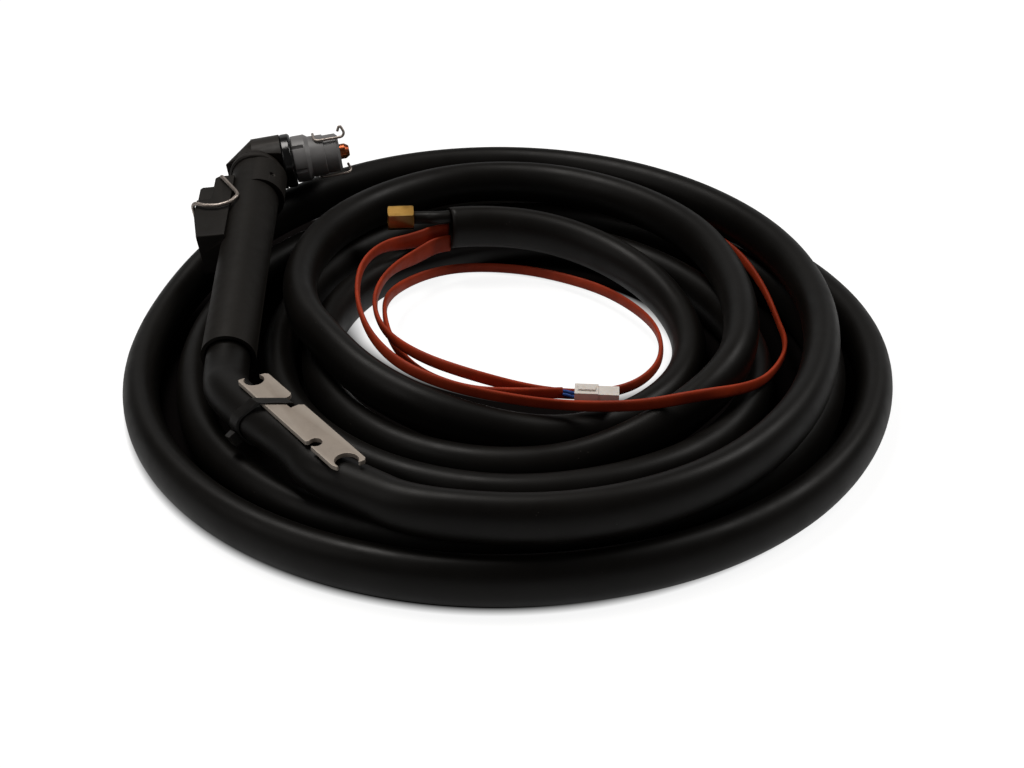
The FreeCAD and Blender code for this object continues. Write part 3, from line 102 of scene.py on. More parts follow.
# The lead's turns as angle, radius and height of the centre
LOW, HIGH = 13.25, 41.4
LEAD_TURNS = [
    (-111, 186, HIGH), (-90, 201, HIGH), (-55, 198, HIGH), (-23, 185, HIGH), (0, 183, HIGH),
    (45, 189, HIGH), (90, 195.5, HIGH), (115, 194.5, HIGH), (130, 193.5, 39.5), (144, 196, 34.5),
    (154, 199, 28), (164, 202, 20), (174, 204, 14.5), (184, 205, LOW), (200, 207, LOW),
    (225, 209, LOW), (270, 208.5, LOW), (315, 214, LOW), (360, 217, LOW), (405, 204, LOW),
    (450, 187, LOW), (495, 178, LOW), (540, 173, LOW), (563, 180, LOW), (585, 185, LOW),
    (630, 187.5, LOW), (675, 190.5, LOW), (720, 190.5, LOW), (765, 180, LOW), (800, 168, LOW),
    (822, 162, LOW), (848, 149, LOW), (870, 135, LOW), (890, 129.5, LOW), (910, 128, LOW),
    (935, 132, LOW), (960, 138, LOW), (990, 146, LOW), (1012, 149, LOW), (1043, 155, LOW),
    (1080, 147, LOW), (1110, 138.5, LOW), (1140, 138.5, LOW), (1165, 137.5, LOW),
    (1190, 126.5, LOW), (1212, 115.5, LOW), (1232, 108, LOW), (1252, 104.5, LOW),
    (1275, 105.5, LOW), (1305, 112, LOW), (1347, 122.5, LOW), (1376, 125, LOW), (1400, 138, 34),
    (1420, 143, HIGH), (1440, 137, HIGH + 1), (1480, 152, HIGH + 1), (1530, 170, HIGH + 1),
    (1570, 148, HIGH + 1), (1600, 126, HIGH + 0.4), (1620, 114, HIGH + 0.4),
    (1637, 103.5, HIGH + 0.4), (1655, 99.5, 39), (1685, 101, 33), (1700, 101.5, 27),
    (1716, 101.5, 20), (1735, 103.5, 14), (1760, 107, LOW), (1800, 112, 14), (1845, 113, 25),
    (1885, 112, 36), (1907, 111, 38.4)]
# The lead's degrees between control points, straight start in mm, sides and least height over the floor
LEAD_STEP, LEAD_STRAIGHT, LEAD_SIDES, FLOOR_CLEAR = 21.0, 18, 36, 0.00002
# Slack of the free part, and how far before and after that part's end the round section turns oval
FREE_SLACK, OVAL_BEFORE, OVAL_AFTER = 0.028, 0.02, 0.06
# The cut end: shares of the wall's inner edge and of the bottom, depth, and how near the end its edges are
SHEATH_WALL, SHEATH_INSIDE, SHEATH_DEPTH, SHEATH_END_REACH = 0.86, 0.84, 0.016, 0.02
FREE_LEAD = [(-141.5, -93, 41.5), (-119, -121, 43), (-96, -145, 43), (-86.7, -160.4, 41.4)]
LEAD_END = Vector((-32.45, 106.15, 38.4)) * MM
LEAD_END_HEADING = Vector((-0.9504, -0.3062, 0.0553))

# Flat leads in sleeves and the hose, from the lead's end
SLEEVE_B = [
    (-54, 94, 35.5), (-74, 76, 41), (-83, 48, 44), (-83.5, 16, 46.5), (-79, -18, 48.5),
    (-68, -52, 49), (-50, -77, 47.5), (-22, -90, 43), (14, -95.5, 38.5), (44, -97.5, 36.5),
    (76, -101, 39.4), (104, -107, 50), (128, -87, 40), (146, -64, 31), (160, -38, 29),
    (167, -8, 22), (168.5, 20, 16), (165, 50, 21), (156, 79, 27.5), (143, 103, 30.5),
    (130, 122, 30.5)]
SLEEVE_A = [
    (-52, 86, 29), (-66, 62, 33), (-73, 33, 36), (-73, 2, 38), (-63, -32, 41), (-42, -61, 44),
    (-12, -75, 41), (20, -76, 32), (50, -74, 28), (74, -60, 24), (90, -34, 20), (96, -4, 16),
    (94, 24, 14), (82, 52, 12), (64, 77, 10), (38, 97, 8), (12, 109, 7), (-20, 110, 8),
    (-44, 97, 11), (-62, 73, 15), (-70, 44, 21), (-68, 12, 27), (-61, -24, 31), (-45, -58, 33),
    (-18, -79, 34.5), (10, -85.5, 36.8), (34.5, -86.6, 38)]
SLEEVE_A_START = Vector((-32.19, 103.61, 28.8)) * MM
SLEEVE_B_START = Vector((-33.25, 107.99, 34.9)) * MM
HOSE_START = Vector((-32.03, 106.29, 46.4)) * MM
NUT_CENTRE = Vector((-63.5, 105.0, 46.0)) * MM
NUT_AXIS = Vector((math.cos(math.radians(186)), math.sin(math.radians(186)), 0.02)).normalized()
NUT_BACK = 8.35
HOSE_END = NUT_CENTRE - NUT_AXIS * NUT_BACK * MM
CONNECTOR = Vector((47, -87.5, 37)) * MM
CONNECTOR_HEADING = Vector((math.cos(math.radians(-4)), math.sin(math.radians(-4)), 0))
CONNECTOR_HALF = 6.25 * MM
CONTACT_PITCH = 3.6 * MM
# Straight starts in mm, and sides of the sections
SLEEVE_STRAIGHT, HOSE_STRAIGHT, WIRE_STRAIGHT = 9, 8, 1.6
SLEEVE_SIDES, HOSE_SIDES, WIRE_SIDES = 24, 28, 16
# A sleeve's size as a cord, the run along which it narrows, its sway, and how square its section is
MOUTH_RUN = (0.015, 0.07)
SLEEVE_SWAY, SLEEVE_WAVES, SLEEVE_SQUARENESS = math.radians(7), 38.0, 0.82
# How far in mm the thin wires start beside the sleeve's middle and past its end
WIRE_SPREAD, WIRE_CLEAR = 1.6, 0.05

# Bent wires, in the torch's and the head's own axes
BAIL_SIDE = [
    (17.8, 158.6), (6.6, 139.4), (4.6, 134.7), (9.1, 127.8), (16.1, 125.3), (24.2, 126.6), (32.7, 131.2)]
BAIL_HALF_WIDTH, BAIL_PIN_END, BAIL_BEND = 16.3, 10.4, 7.0
CLIP_RADIUS, CLIP_RING, CLIP_TIP, CLIP_BEND = 14.0, 37.5, 58.5, 13.9
CLIP_LEGS = (108.8, 229.0)
CLIP_STEPS = 8
CLIP_UPPER_HOOK = ((-2.6, 16.6, 53.4), (-0.35, 20.2, 55.6))
CLIP_LOWER_HOOK = (-1.6, -8.6, 56.6)
CLIP_TIP_SPREAD, CLIP_CORNER_SPREAD, CLIP_CORNER_AHEAD = 0.2, 0.3, 0.5

# Springs under the button, in the torch's own axes
SPRING_FOOT, SPRING_REST, SPRING_SIDE, SPRING_ALONG = 13.02, 7.26, 6.6, 147.0
SPRING_RADIUS, SPRING_WIRE, SPRING_TURNS, SPRING_STEPS, BUTTON_TRAVEL = 2.2, 0.6, 5, 16, 2.0


def size_setting(name, default, description):
    return bpy.props.FloatProperty(name=name, default=default, unit="LENGTH", description=description)


def colour_setting(name, default, description):
    return bpy.props.FloatVectorProperty(
        name=name, default=default, subtype="COLOR", size=3, description=description)


class TorchSetSettings(bpy.types.PropertyGroup):
    """Sizes and colours that a user would change."""

    lead_diameter: size_setting("Lead diameter", 0.024, "Diameter of the lead's sheath where it is round")
    oval_width: size_setting("Coil section width", 0.020, "Width of the lead's section in the coil")
    oval_height: size_setting("Coil section height", 0.0275, "Height of the lead's section in the coil")
    sleeve_width: size_setting("Sleeve width", 0.0068, "Width of the flat sleeved leads, which stand on edge")
    sleeve_mouth: size_setting(
        "Sleeve width at the sheath", 0.0114, "Width of the sleeves where they leave the sheath")
    sleeve_thickness: size_setting("Sleeve thickness", 0.0028, "Thickness of the flat sleeved leads")
    hose_diameter: size_setting("Hose diameter", 0.008, "Diameter of the hose at the union")
    wire_diameter: size_setting("Control wire diameter", 0.0018, "Diameter of the two thin wires")
    bail_wire: size_setting("Bail wire", 0.0023, "Diameter of the safety bail's wire")
    clip_wire: size_setting("Clip wire", 0.0017, "Diameter of the stand-off clip's wire")
    edge_width: size_setting("Edge rounding", 0.0004, "Width of the rounding on moulded edges")
    rubber_colour: colour_setting("Sheath colour", (0.0046, 0.0038, 0.0031), "Colour of the lead's rubber")
    sleeve_colour: colour_setting("Sleeve colour", (0.42, 0.045, 0.013), "Colour of the flat sleeves")
    handle_colour: colour_setting("Handle colour", (0.0085, 0.0070, 0.0056), "Colour of the handle's plastic")
    cap_colour: colour_setting("Cap colour", (0.200, 0.196, 0.198), "Colour of the grey cap")


def settings():
    return bpy.context.scene.torch_set


def deselect():
    if bpy.context.object and bpy.context.object.mode != "OBJECT":
        bpy.ops.object.mode_set(mode="OBJECT")
    bpy.ops.object.select_all(action="DESELECT")


def pick(obj):
    deselect()
    obj.select_set(True)
    bpy.context.view_layer.objects.active = obj


def apply_modifier(obj, kind, name, **values):
    """Add a modifier, set it and apply it."""
    pick(obj)
    modifier = obj.modifiers.new(name, kind)
    for key, value in values.items():
        setattr(modifier, key, value)
    bpy.ops.object.modifier_apply(modifier=name)


def settle(obj):
    """Put a piece's place into its mesh and leave its object at the origin."""
    pick(obj)
    bpy.ops.object.transform_apply(location=True, rotation=True, scale=True)


def smooth(obj, degrees):
    pick(obj)
    bpy.ops.object.shade_smooth_by_angle(angle=math.radians(degrees))


def paint(obj, material):
    obj.data.materials.clear()
    obj.data.materials.append(material)


# Finishes

# A Mix node's colour sockets, by number because its sockets share their names
MIX_COLOUR_A, MIX_COLOUR_B, MIX_COLOUR_OUT = 6, 7, 2


class Finish:
    """A node material built up in steps."""

    def __init__(self, name, colour, roughness=0.5, metallic=0.0):
        self.material = bpy.data.materials.new(name)
        self.material.use_nodes = True
        self.nodes = self.material.node_tree.nodes
        self.links = self.material.node_tree.links
        self.shader = self.nodes["Principled BSDF"]
        self.shader.inputs["Metallic"].default_value = metallic
        self.shader.inputs["Roughness"].default_value = roughness
        self.shader.inputs["Base Color"].default_value = (*colour, 1)
        self.colour = tuple(colour)
        self.place = self.nodes.new("ShaderNodeTexCoord").outputs["Object"]
        self.height = None

    def link(self, a, b):
        self.links.new(a, b)

    def noise(self, scale, detail=3.0, roughness=0.5, stretch=None, source=None):
        node = self.nodes.new("ShaderNodeTexNoise")
        node.inputs["Scale"].default_value = scale
        node.inputs["Detail"].default_value = detail
        node.inputs["Roughness"].default_value = roughness
        vector = source or self.place
        if stretch:
            mapping = self.nodes.new("ShaderNodeMapping")
            mapping.inputs["Scale"].default_value = stretch
            self.link(vector, mapping.inputs["Vector"])
            vector = mapping.outputs["Vector"]
        self.link(vector, node.inputs["Vector"])
        return node.outputs["Fac"]

    def cells(self, scale):
        node = self.nodes.new("ShaderNodeTexVoronoi")
        node.inputs["Scale"].default_value = scale
        self.link(self.place, node.inputs["Vector"])
        return node.outputs["Distance"]

    def ramp(self, value, stops):
        node = self.nodes.new("ShaderNodeValToRGB")
        ramp = node.color_ramp
        while len(ramp.elements) < len(stops):
            ramp.elements.new(0.5)
        for element, (at, colour) in zip(ramp.elements, stops):
            element.position = at
            element.color = (*colour, 1)
        self.link(value, node.inputs["Fac"])
        return node.outputs["Color"]

    def span(self, value, low, high, out_low, out_high):
        node = self.nodes.new("ShaderNodeMapRange")
        for key, number in zip(("From Min", "From Max", "To Min", "To Max"), (low, high, out_low, out_high)):
            node.inputs[key].default_value = number
        self.link(value, node.inputs["Value"])
        return node.outputs["Result"]

    def math(self, operation, a, b):
        node = self.nodes.new("ShaderNodeMath")
        node.operation = operation
        for k, item in enumerate((a, b)):
            if isinstance(item, (int, float)):
                node.inputs[k].default_value = item
            else:
                self.link(item, node.inputs[k])
        return node.outputs["Value"]

    def oval(self, middle, turn, halves):
        """Object coordinates about a middle on the floor, turned and measured in the halves of an oval."""
        node = self.nodes.new("ShaderNodeMapping")
        node.vector_type = "TEXTURE"
        node.inputs["Location"].default_value = (middle[0] * MM, middle[1] * MM, 0)
        node.inputs["Rotation"].default_value = (0, 0, turn)
        node.inputs["Scale"].default_value = (halves[0] * MM, halves[1] * MM, 1)
        self.link(self.place, node.inputs["Vector"])
        return node.outputs["Vector"]

    def length(self, vector):
        node = self.nodes.new("ShaderNodeVectorMath")
        node.operation = "LENGTH"
        self.link(vector, node.inputs[0])
        return node.outputs["Value"]

    def mix(self, factor, a, b):
        node = self.nodes.new("ShaderNodeMix")
        node.data_type = "RGBA"
        self.link(factor, node.inputs[0])
        for socket, item in ((MIX_COLOUR_A, a), (MIX_COLOUR_B, b)):
            if isinstance(item, tuple):
                node.inputs[socket].default_value = (*item, 1)
            else:
                self.link(item, node.inputs[socket])
        return node.outputs[MIX_COLOUR_OUT]

    def colour_from(self, output):
        self.link(output, self.shader.inputs["Base Color"])

    def roughness(self, low, high, scale, detail=3.0, fineness=0.5):
        """Roughness that drifts between two values with a noise of this scale."""
        drift = self.span(self.noise(scale, detail, fineness), 0.3, 0.7, low, high)
        self.link(drift, self.shader.inputs["Roughness"])

    def specular(self, level):
        self.shader.inputs["Specular IOR Level"].default_value = level

    def bump(self, value, strength, distance):
        node = self.nodes.new("ShaderNodeBump")
        node.inputs["Strength"].default_value = strength
        node.inputs["Distance"].default_value = distance
        self.link(value, node.inputs["Height"])
        if self.height is not None:
            self.link(self.height, node.inputs["Normal"])
        self.height = node.outputs["Normal"]
        self.link(self.height, self.shader.inputs["Normal"])

    def tint(self, factor):
        """The finish's own colour, made darker or lighter."""
        return tuple(min(1.0, c * factor) for c in self.colour)

    def worn(self, amount=0.25, scale=60.0, dark=0.7, light=1.25):
        """Cloudy change of the colour about its own value."""
        cloud = self.noise(scale, 4.0, 0.6)
        out = self.ramp(cloud, [(0.5 - amount, self.tint(dark)), (0.5 + amount, self.tint(light))])
        self.colour_from(out)
        return out

    def edge_wear(self, base, colour, low=0.52, high=0.60):
        """A lighter colour where edges stick out."""
        geometry = self.nodes.new("ShaderNodeNewGeometry")
        mask = self.span(geometry.outputs["Pointiness"], low, high, 0.0, 1.0)
        out = self.mix(mask, base, colour)
        self.colour_from(out)
        return out


def rubber_finish():
    """Matte sheath rubber, cloudy, with a few specks of dust."""
    f = Finish("sheath_rubber", settings().rubber_colour, 0.5)
    cloud = f.noise(14.0, 5.0, 0.6)
    base = f.ramp(cloud, [(0.30, f.tint(0.75)), (0.70, f.tint(1.35))])
    specks = f.cells(330.0)
    chance = f.noise(45.0, 2.0)
    dot = f.math("LESS_THAN", specks, 0.085)
    sparse = f.math("GREATER_THAN", chance, 0.66)
    dust = f.math("MULTIPLY", dot, sparse)
    f.colour_from(f.mix(f.math("MULTIPLY", dust, 0.35), base, (0.12, 0.11, 0.10)))
    f.roughness(0.38, 0.52, 38.0, 4.0, 0.6)
    f.bump(f.noise(900.0, 3.0, 0.6), 0.10, 0.0002)
    f.bump(f.noise(25.0, 2.0), 0.12, 0.0012)
    f.specular(0.2)
    return f.material


def handle_finish():
    """Dark moulded plastic with a spark-eroded texture and hand-worn edges."""
    f = Finish("handle_plastic", settings().handle_colour, 0.55)
    base = f.worn(0.22, 26.0, 0.85, 1.2)
    f.edge_wear(base, (0.024, 0.020, 0.017))
    f.roughness(0.50, 0.64, 120.0, 4.0, 0.6)
    f.bump(f.noise(1900.0, 2.0), 0.16, 0.00015)
    f.specular(0.2)
    return f.material


def button_finish():
    f = Finish("button_plastic", (0.014, 0.0118, 0.0100), 0.5)
    base = f.worn(0.2, 60.0, 0.8, 1.3)
    f.edge_wear(base, (0.035, 0.031, 0.028))
    f.roughness(0.46, 0.60, 150.0)
    f.bump(f.noise(1500.0, 2.0), 0.14, 0.00015)
    f.specular(0.22)
    return f.material


def head_finish():
    """Heat-resistant moulding of the elbow, a little lighter and browner."""
    f = Finish("head_plastic", (0.0125, 0.0100, 0.0082), 0.5)
    base = f.worn(0.25, 45.0, 0.75, 1.3)
    f.edge_wear(base, (0.050, 0.044, 0.040))
    f.roughness(0.40, 0.58, 90.0, 4.0, 0.6)
    f.bump(f.noise(1200.0, 2.0), 0.12, 0.00018)
    f.specular(0.25)
    return f.material


def gloss_finish():
    f = Finish("gloss_black", (0.008, 0.008, 0.008), 0.16)
    f.worn(0.2, 80.0, 0.6, 1.6)
    f.roughness(0.11, 0.24, 70.0)
    f.bump(f.noise(160.0, 2.0), 0.05, 0.0003)
    return f.material


def cap_finish():
    """Grey heat-resistant cap, cloudy and lighter along its edges."""
    f = Finish("cap_grey", settings().cap_colour, 0.48)
    base = f.worn(0.25, 70.0, 0.86, 1.12)
    f.edge_wear(base, (0.34, 0.33, 0.32), 0.53, 0.62)
    f.roughness(0.40, 0.56, 140.0, 4.0, 0.6)
    f.bump(f.noise(1400.0, 2.0), 0.12, 0.00016)
    return f.material


def copper_finish():
    """Turned copper, redder and duller where it has been handled."""
    f = Finish("turned_copper", (0.80, 0.36, 0.20), 0.28, 1.0)
    stain = f.noise(110.0)
    f.colour_from(f.ramp(stain, [
        (0.30, (0.26, 0.055, 0.024)), (0.50, (0.50, 0.155, 0.060)), (0.70, (0.78, 0.34, 0.16))]))
    f.roughness(0.18, 0.42, 260.0, 4.0, 0.6)
    f.bump(f.noise(900.0, 2.0, stretch=(0.15, 1.0, 1.0)), 0.10, 0.0001)
    return f.material


def brass_finish():
    f = Finish("machined_brass", (0.62, 0.40, 0.13), 0.30, 1.0)
    stain = f.noise(120.0, 5.0, 0.6)
    base = f.ramp(stain, [
        (0.28, (0.20, 0.108, 0.026)), (0.52, (0.27, 0.155, 0.040)), (0.78, (0.36, 0.215, 0.064))])
    f.edge_wear(base, (0.62, 0.43, 0.19), 0.53, 0.60)
    f.roughness(0.30, 0.42, 120.0)
    f.bump(f.noise(700.0, 2.0, stretch=(0.2, 1.0, 1.0)), 0.02, 0.0001)
    return f.material


def wire_finish():
    """Drawn steel wire."""
    f = Finish("steel_wire", (0.42, 0.37, 0.33), 0.36, 0.75)
    streak = f.noise(90.0)
    f.colour_from(f.ramp(streak, [(0.30, (0.34, 0.29, 0.255)), (0.70, (0.50, 0.44, 0.40))]))
    f.roughness(0.32, 0.44, 160.0)
    f.bump(f.noise(700.0, 2.0), 0.03, 0.0001)
    return f.material


def screw_finish():
    """Blackened screw steel, rubbed a little on its slot."""
    f = Finish("blackened_steel", (0.035, 0.032, 0.030), 0.42, 0.7)
    base = f.worn(0.25, 300.0, 0.6, 1.4)
    f.edge_wear(base, (0.10, 0.09, 0.08), 0.54, 0.62)
    f.roughness(0.36, 0.52, 400.0)
    return f.material


def spanner_finish():
    """Stamped and tumbled steel with a dull plating."""
    f = Finish("spanner_steel", (0.30, 0.245, 0.20), 0.5, 0.35)
    cloud = f.noise(55.0, 6.0, 0.65)
    base = f.ramp(cloud, [
        (0.28, (0.235, 0.185, 0.15)), (0.50, (0.31, 0.25, 0.205)), (0.75, (0.36, 0.30, 0.25))])
    pits = f.math("LESS_THAN", f.cells(420.0), 0.11)
    rare = f.math("GREATER_THAN", f.noise(90.0, 2.0), 0.60)
    base = f.mix(f.math("MULTIPLY", pits, rare), base, (0.12, 0.09, 0.07))
    f.edge_wear(base, (0.50, 0.44, 0.38), 0.51, 0.57)
    f.roughness(0.40, 0.62, 200.0, 5.0, 0.6)
    f.bump(f.noise(800.0, 4.0, 0.6), 0.14, 0.00014)
    return f.material


def plated_finish():
    f = Finish("plated_steel", (0.45, 0.44, 0.42), 0.35, 1.0)
    f.worn(0.25, 120.0, 0.7, 1.2)
    f.roughness(0.26, 0.46, 240.0, 4.0, 0.6)
    return f.material


def sleeve_finish():
    """Silicone-coated sleeve in cloudy orange, with faint cross ribs along its length."""
    f = Finish("orange_sleeve", settings().sleeve_colour, 0.45)
    along = f.nodes.new("ShaderNodeUVMap")
    along.uv_map = "along"
    cloud = f.noise(40.0, 5.0, 0.6)
    f.colour_from(f.ramp(cloud, [(0.30, f.tint(0.72)), (0.70, f.tint(1.25))]))
    weave = f.noise(1.0, 2.0, stretch=(30.0, 900.0, 1.0), source=along.outputs["UV"])
    f.bump(weave, 0.20, 0.0002)
    f.bump(f.noise(120.0), 0.15, 0.0006)
    f.roughness(0.44, 0.60, 150.0, 4.0, 0.6)
    f.specular(0.25)
    return f.material


def wire_sleeve_finish():
    f = Finish("blue_insulation", (0.018, 0.075, 0.32), 0.38)
    f.worn(0.25, 200.0, 0.7, 1.3)
    f.roughness(0.30, 0.46, 300.0)
    f.bump(f.noise(900.0, 2.0), 0.10, 0.0001)
    return f.material


def nylon_finish():
    """Milky translucent nylon of the connector."""
    f = Finish("milky_nylon", (0.80, 0.74, 0.68), 0.32)
    base = f.ramp(f.noise(160.0, 4.0, 0.6), [(0.3, (0.84, 0.77, 0.71)), (0.7, (0.93, 0.88, 0.83))])
    f.colour_from(base)
    f.shader.inputs["Subsurface Weight"].default_value = 0.35
    f.shader.inputs["Subsurface Radius"].default_value = (0.004, 0.0035, 0.003)
    f.roughness(0.24, 0.42, 240.0, 4.0, 0.6)
    f.bump(f.noise(500.0), 0.08, 0.0002)
    return f.material


def tie_finish():
    f = Finish("tie_nylon", (0.0085, 0.0078, 0.0072), 0.42)
    base = f.worn(0.25, 150.0, 0.7, 1.5)
    f.edge_wear(base, (0.022, 0.020, 0.018))
    f.roughness(0.32, 0.48, 260.0)
    f.bump(f.noise(900.0, 2.0), 0.10, 0.0001)
    f.specular(0.25)
    return f.material


# A finish for each slot that this script names
FINISHES = {
    "lead_rubber": rubber_finish, "seal_rubber": rubber_finish, "handle_plastic": handle_finish,
    "button_plastic": button_finish, "switch_plastic": button_finish, "head_plastic": head_finish,
    "gloss_black": gloss_finish, "cap_grey": cap_finish, "copper": copper_finish, "brass": brass_finish,
    "bright_steel": wire_finish, "screw_steel": screw_finish, "spanner_steel": spanner_finish,
    "plated_steel": plated_finish, "orange_sleeve": sleeve_finish, "blue_wire": wire_sleeve_finish,
    "clear_nylon": nylon_finish, "tie_nylon": tie_finish,
}
made_finishes = {}


def finish_for(slot):
    if slot not in made_finishes:
        made_finishes[slot] = FINISHES[slot]()
    return made_finishes[slot]


def dress_node(node, slot):
    """Give a CAD node that stays in view its finish."""
    paint(bpy.data.objects[node], finish_for(slot))


# Points of a CAD mesh closer than this are one, and faces flatter than this to each other are one
MERGE_DISTANCE = 0.000004
FLAT_WITHIN = math.radians(0.6)
# How much large faces count in the shading, and the steps of a rounded edge
NORMAL_WEIGHT = 80
EDGE_SEGMENTS = 2


def dressed_copy(node, name, slot, body, rounding, degrees=30.0):
    """A copy of a CAD node with merged faces and rounded edges, shown in its place.

    The rounding is a share of the width in the settings.
    """
    source = bpy.data.objects[node]
    obj = bpy.data.objects.new(name, source.data.copy())
    bpy.context.collection.objects.link(obj)
    obj.matrix_world = source.matrix_world
    settle(obj)
    if obj.data.has_custom_normals:
        bpy.ops.mesh.customdata_custom_splitnormals_clear()
    bpy.ops.object.mode_set(mode="EDIT")
    bpy.ops.mesh.select_all(action="SELECT")
    bpy.ops.mesh.remove_doubles(threshold=MERGE_DISTANCE)
    bpy.ops.mesh.dissolve_limited(angle_limit=FLAT_WITHIN)
    bpy.ops.object.mode_set(mode="OBJECT")
    apply_modifier(
        obj, "BEVEL", "edges", width=settings().edge_width * rounding, segments=EDGE_SEGMENTS,
        limit_method="ANGLE", angle_limit=math.radians(degrees), use_clamp_overlap=True, harden_normals=False)
    smooth(obj, degrees)
    apply_modifier(obj, "WEIGHTED_NORMAL", "flat_faces", keep_sharp=True, weight=NORMAL_WEIGHT)
    paint(obj, finish_for(slot))
    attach(obj, body)
    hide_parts(node)


# Routes of the soft pieces

def smooth_through(table, column):
    """A monotone cubic through one column of a table of angles."""
    xs = [row[0] for row in table]
    ys = [row[column] for row in table]
    gaps = [b - a for a, b in zip(xs, xs[1:])]
    slopes = [(ys[k + 1] - ys[k]) / gaps[k] for k in range(len(gaps))]
    tangent = [slopes[0]] + [0.0] * (len(xs) - 2) + [slopes[-1]]
    for k in range(1, len(xs) - 1):
        if slopes[k - 1] * slopes[k] > 0:
            w1, w2 = 2 * gaps[k] + gaps[k - 1], gaps[k] + 2 * gaps[k - 1]
            tangent[k] = (w1 + w2) / (w1 / slopes[k - 1] + w2 / slopes[k])

    def value(x):
        k = max(0, min(len(gaps) - 1, sum(1 for edge in xs[1:-1] if x > edge)))
        t, h = (x - xs[k]) / gaps[k], gaps[k]
        return (ys[k] * (2 * t ** 3 - 3 * t ** 2 + 1) + tangent[k] * h * (t ** 3 - 2 * t ** 2 + t)
                + ys[k + 1] * (3 * t ** 2 - 2 * t ** 3) + tangent[k + 1] * h * (t ** 3 - t ** 2))

    return value


def coil_controls():
    """Control points of the coiled lead, a little outside the turns so that the curve runs on them."""
    radius_at, height_at = smooth_through(LEAD_TURNS, 1), smooth_through(LEAD_TURNS, 2)
    first, last = LEAD_TURNS[0][0], LEAD_TURNS[-1][0]
    count = round((last - first) / LEAD_STEP)
    step = (last - first) / count
    out = 1 / math.cos(math.radians(step / 2))

    def at(angle, reach=1.0):
        t = math.radians(angle)
        r = radius_at(angle) * reach * MM
        return Vector((r * math.cos(t), r * math.sin(t), height_at(angle) * MM))

    middle = [at(first + step * (k + 0.5), out) for k in range(count)]
    return [at(first)] + middle + [at(last)]


def route_points(name, controls, resolution=12):
    """Points along a bare NURBS route through these control points."""
    data = bpy.data.curves.new(name, "CURVE")
    data.dimensions = "3D"
    spline = data.splines.new("NURBS")
    spline.points.add(len(controls) - 1)
    for point, place in zip(spline.points, controls):
        point.co = (*place, 1)
    spline.order_u = 3
    spline.use_endpoint_u = True
    spline.resolution_u = resolution
    bare = bpy.data.objects.new(name, data)
    bpy.context.collection.objects.link(bare)
    bpy.context.view_layer.update()
    mesh = bpy.data.meshes.new_from_object(bare)
    points = [v.co.copy() for v in mesh.vertices]
    bpy.data.objects.remove(bare)
    bpy.data.curves.remove(data)
    bpy.data.meshes.remove(mesh)
    if (points[0] - Vector(controls[0])).length > (points[-1] - Vector(controls[0])).length:
        points.reverse()
    return points


def run_lengths(points):
    out = [0.0]
    for a, b in zip(points, points[1:]):
        out.append(out[-1] + (b - a).length)
    return out


# Most of a run that one bend may take up, and the degrees between points on a bend
BEND_SHARE, BEND_STEP = 0.45, 8.0


def rounded_points(points, bend):
    """Points along straight runs joined by tangent arcs, as a wire is bent."""
    pts = [Vector(p) for p in points]
    runs = [(b - a).length for a, b in zip(pts, pts[1:])]
    out = [pts[0]]
    for k in range(1, len(pts) - 1):
        a, b = (pts[k] - pts[k - 1]).normalized(), (pts[k + 1] - pts[k]).normalized()
        half = a.angle(b) / 2
        radius = min(BEND_SHARE * min(runs[k - 1], runs[k]) / math.tan(half), bend)
        centre = pts[k] + (b - a).normalized() * (radius / math.cos(half))
        spoke = pts[k] - a * (radius * math.tan(half)) - centre
        axis = a.cross(b).normalized()
        count = max(2, round(math.degrees(2 * half) / BEND_STEP))
        for n in range(count + 1):
            out.append(centre + Matrix.Rotation(2 * half * n / count, 3, axis) @ spoke)
    out.append(pts[-1])
    return out


def outline(sides, half_w, half_h, power, roll):
    """Points round an oval, squarer with a power under 1, and turned by its roll."""
    for n in range(sides):
        t = 2 * math.pi * n / sides
        c, s = math.cos(t), math.sin(t)
        x = half_w * math.copysign(abs(c) ** power, c)
        y = half_h * math.copysign(abs(s) ** power, s)
        yield x * math.cos(roll) - y * math.sin(roll), x * math.sin(roll) + y * math.cos(roll)


def swept(name, points, section, sides, closed_ends=True, lying=False, level=True):
    """A tube mesh along points, whose section is a function of the length along it.

    The section gives half width, half height, squareness and roll. Its width stays level, or on a bent
    wire turns as little as it can.
    """
    lengths = run_lengths(points)
    across = Vector((1, 0, 0)) if abs((points[1] - points[0]).normalized().x) < 0.8 else Vector((0, 1, 0))
    mesh = bmesh.new()
    uv = mesh.loops.layers.uv.new("along")
    rings = []
    for k, point in enumerate(points):
        ahead = (points[min(k + 1, len(points) - 1)] - points[max(k - 1, 0)]).normalized()
        across = ahead.cross(Vector((0, 0, 1))) if level else across - ahead * across.dot(ahead)
        across.normalize()
        up = across.cross(ahead)
        ring = []
        for x, y in outline(sides, *section(lengths[k], lengths[-1])):
            place = point + across * x + up * y
            if lying:
                place.z = max(place.z, FLOOR_CLEAR)
            ring.append(mesh.verts.new(place))
        rings.append(ring)
    for k in range(len(rings) - 1):
        for n in range(sides):
            m = (n + 1) % sides
            face = mesh.faces.new((rings[k][n], rings[k][m], rings[k + 1][m], rings[k + 1][n]))
            for loop, (u, v) in zip(face.loops, ((n, k), (n + 1, k), (n + 1, k + 1), (n, k + 1))):
                loop[uv].uv = (u / sides, lengths[v])
    if closed_ends:
        mesh.faces.new(list(reversed(rings[0])))
        mesh.faces.new(rings[-1])
    bmesh.ops.recalc_face_normals(mesh, faces=mesh.faces)
    data = bpy.data.meshes.new(name)
    mesh.to_mesh(data)
    mesh.free()
    obj = bpy.data.objects.new(name, data)
    bpy.context.collection.objects.link(obj)
    pick(obj)
    bpy.ops.object.shade_smooth()
    return obj


def round_section(half):
    """A section that stays round along its whole length."""
    return lambda at, total: (half, half, 1.0, 0.0)


